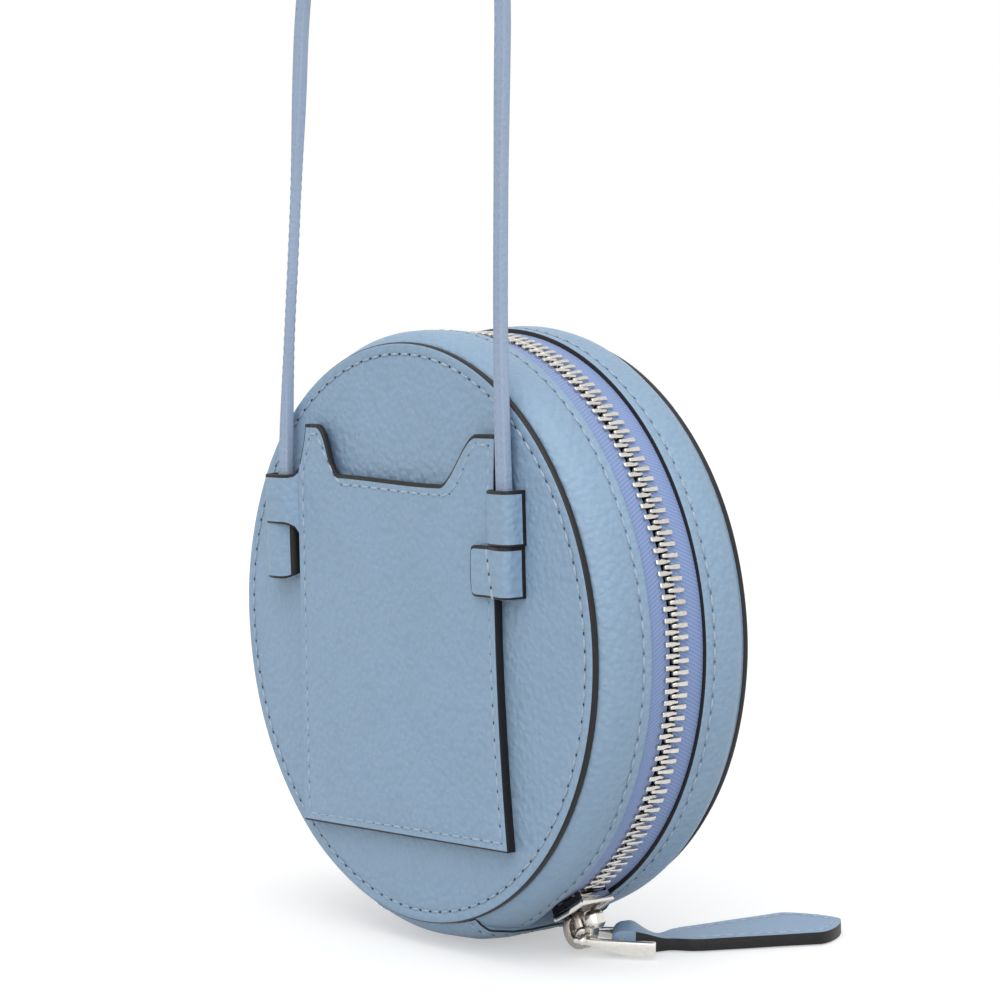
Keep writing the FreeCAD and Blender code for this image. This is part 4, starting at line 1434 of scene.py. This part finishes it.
def pin_ball(side):
    """The ball at one end of the pin."""
    ball = fresh("pin_ball", bpy.ops.mesh.primitive_uv_sphere_add, segments=20, ring_count=12,
                 radius=PIN_BALL, location=(0, side * PIN_HALF, 0))
    ball.data.transform(ON_PULLER)
    return ball


def puller():
    pin = round_bar("puller_pin", PIN_RADIUS, PIN_HALF, 24)
    piece = joined("puller_stirrup", [arm(-1), arm(1), pin, pin_ball(-1), pin_ball(1)])
    tidy_mesh(piece)
    dressed(piece, puller_nickel)
    smooth(piece, 40)
    placed(piece, "puller", "puller_metal", "puller_frame")


def swivel_lug():
    """The barrel round the pin, its post down to the slider, the bail and the nose."""
    out = rim_out(rim_clock(PIVOT))
    foot = AXIS + out * (SLIDER_TOP - LUG_POST_SINK)
    foot.y = PIVOT.y
    barrel = round_bar("lug_barrel", BARREL_RADIUS, BARREL_HALF, 28)
    post = fresh("lug_post", bpy.ops.mesh.primitive_cylinder_add, vertices=24, radius=LUG_POST_RADIUS,
                 depth=(PIVOT - foot).length, location=(PIVOT + foot) / 2,
                 rotation=out.to_track_quat("Z", "Y").to_euler())
    rounded(post, 0.25 * MM, 2, 60)
    lug = joined("swivel_lug", [barrel, post, *bail_and_nose()])
    # Painted reflection: all but the nose take the greyer nickel, for the darker things the bail reflects;
    # the nose stays bright.
    dressed(lug, bail_shade_nickel, puller_nickel)
    painted(lug, lambda middle, _: rim_clock(middle) < BAIL_CLOCK)
    smooth(lug, 32)
    placed(lug, "lug", "puller_metal", "puller_lug")


puller()
swivel_lug()


# Leather pull: two plies sewn together, folded round the crossbar at the neck, edges painted

PULL_YAW = math.radians(70.5)
PULL_THICK = 2.6 * MM
PULL_SINK = 2.1 * MM
FOLD_HALF = 4.0 * MM
FOLD_RADIUS = 2.25 * MM
FOLD_TURN = 1.6 * MM
NECK_HALF = 3.0 * MM
NECK_RUN = 9.0 * MM
FLARE_HALF = 6.1 * MM
FLARE_REACH = 13.3 * MM
FLARE_EASE = 1.5 * MM
SHOULDER_REACH = 41.0 * MM
SHOULDER_HALF = 11.0 * MM
TIP_REACH = 50.3 * MM
TIP_LEAST_HALF = 0.6 * MM
PULL_SEAM = 2.2 * MM
PULL_SEAM_START = 15 * MM
PULL_STITCH = {"pitch": 2.9 * MM, "length": 2.2 * MM, "thick": 0.5 * MM}
PULL_WAY = Vector((math.cos(PULL_YAW), math.sin(PULL_YAW), 0))
PULL_SIDE = Vector((-math.sin(PULL_YAW), math.cos(PULL_YAW), 0))
UP = Vector((0, 0, 1))


def tip_share(past):
    """The share of the shoulder's width left on the way from it, 0, to the tip, 1: a rounded point."""
    return (1 - past ** 1.5) ** 0.75


def pull_half_at(reach):
    """Half width: the fold, a narrow neck, a long flare to the shoulder, then a rounded point."""
    fold = FOLD_HALF + (NECK_HALF - FOLD_HALF) * eased((reach - 1.5 * MM) / (5 * MM))
    neck = fold + (FLARE_HALF - NECK_HALF) * eased((reach - NECK_RUN) / (FLARE_REACH + FLARE_EASE - NECK_RUN))
    flare = FLARE_HALF + (SHOULDER_HALF - FLARE_HALF) * (reach - FLARE_REACH) / (SHOULDER_REACH - FLARE_REACH)
    past = min(1.0, max(0.0, (reach - SHOULDER_REACH) / (TIP_REACH - SHOULDER_REACH)))
    blade = min(flare, SHOULDER_HALF) * tip_share(past)
    return max(TIP_LEAST_HALF, min(neck, blade) if reach < FLARE_REACH + FLARE_EASE else blade)


def pull_heights(reach):
    """Heights of the lower and upper faces above the crossbar: round at the fold, flat on the blade."""
    if reach < 0:
        arc = math.sqrt(max(0.0, FOLD_RADIUS ** 2 - reach ** 2))
        return -arc, arc
    upper = PULL_THICK / 2 - PULL_SINK
    lower = upper - PULL_THICK
    return (lower + (-FOLD_RADIUS - lower) * (1 - eased(reach / (4 * MM))),
            upper + (FOLD_RADIUS - upper) * (1 - eased((reach - 0.6 * MM) / (9 * MM))))


def pull_spot(reach, across, upper):
    """A point of the pull from its reach, the share of its half width and which face it is on."""
    bar_side = PIN_WAY if PIN_WAY.dot(PULL_SIDE) > 0 else -PIN_WAY
    side = bar_side.lerp(PULL_SIDE, eased((reach - 0.5 * MM) / (9 * MM))).normalized()
    rise = ARM_UP.lerp(UP, eased(reach / (6 * MM))).normalized()
    way = PULL_WAY if reach > 0 else ARM_WAY
    return BAR_MIDDLE + way * reach + side * across * pull_half_at(reach) + rise * pull_heights(reach)[upper]


def pull_reaches():
    """Steps along the pull: close round the fold, at the neck and at the tip."""
    reaches = [-FOLD_RADIUS * math.cos(math.radians(15 * i)) for i in range(6)]
    reaches += [0.7 * MM * i for i in range(24)]
    while reaches[-1] < SHOULDER_REACH - 2 * MM:
        reaches.append(reaches[-1] + 1.4 * MM)
    tip = TIP_REACH - SHOULDER_REACH
    return reaches + [SHOULDER_REACH + tip * math.sin(math.radians(6 * i)) for i in range(15)]


def zip_pull():
    reaches = pull_reaches()
    steps = len(reaches) - 1
    piece = fresh("leather_pull", bpy.ops.mesh.primitive_cube_add, size=1.0)
    enter()
    for i in range(1, steps):
        sliced((i / steps - 0.5, 0, 0), (1, 0, 0))
    for share in (-0.3, 0.0, 0.3):
        sliced((0, share, 0), (0, 1, 0))
    leave()
    for vert in piece.data.vertices:
        vert.co = pull_spot(reaches[round((vert.co.x + 0.5) * steps)], 2 * vert.co.y, vert.co.z > 0)
    dressed(piece, pull_calf, black_edge)
    painted(piece, lambda middle, normal: abs(normal.dot(ARM_UP)) < 0.5 and normal.dot(ARM_WAY) > -0.7
            and (middle - BAR_MIDDLE).dot(PULL_WAY) > FOLD_TURN)
    tidy_mesh(piece)
    rounded(piece, 0.3 * MM, 2, 50)
    soften(piece, 0.06 * MM, 9 * MM, 12.0)
    smooth(piece)
    placed(piece, "pull", "pull_leather", "zip_pull")


def pull_stitches():
    """One row along each side, round to the tip."""
    for name, sign in (("near", -1), ("far", 1)):
        line = []
        for i in range(28):
            reach = PULL_SEAM_START + (SHOULDER_REACH - PULL_SEAM_START) * i / 28
            line.append((pull_spot(reach, sign * (1 - PULL_SEAM / pull_half_at(reach)), True), UP))
        for past in (math.sin(math.radians(5 * i)) for i in range(17)):
            reach = SHOULDER_REACH + (TIP_REACH - PULL_SEAM - SHOULDER_REACH) * past
            across = (SHOULDER_HALF - PULL_SEAM) * tip_share(past) / pull_half_at(reach)
            line.append((pull_spot(reach, sign * across, True), UP))
        sewn(f"pull_stitches_{name}", line, "pull", "pull_leather", **PULL_STITCH, hole=pull_calf)


zip_pull()
pull_stitches()
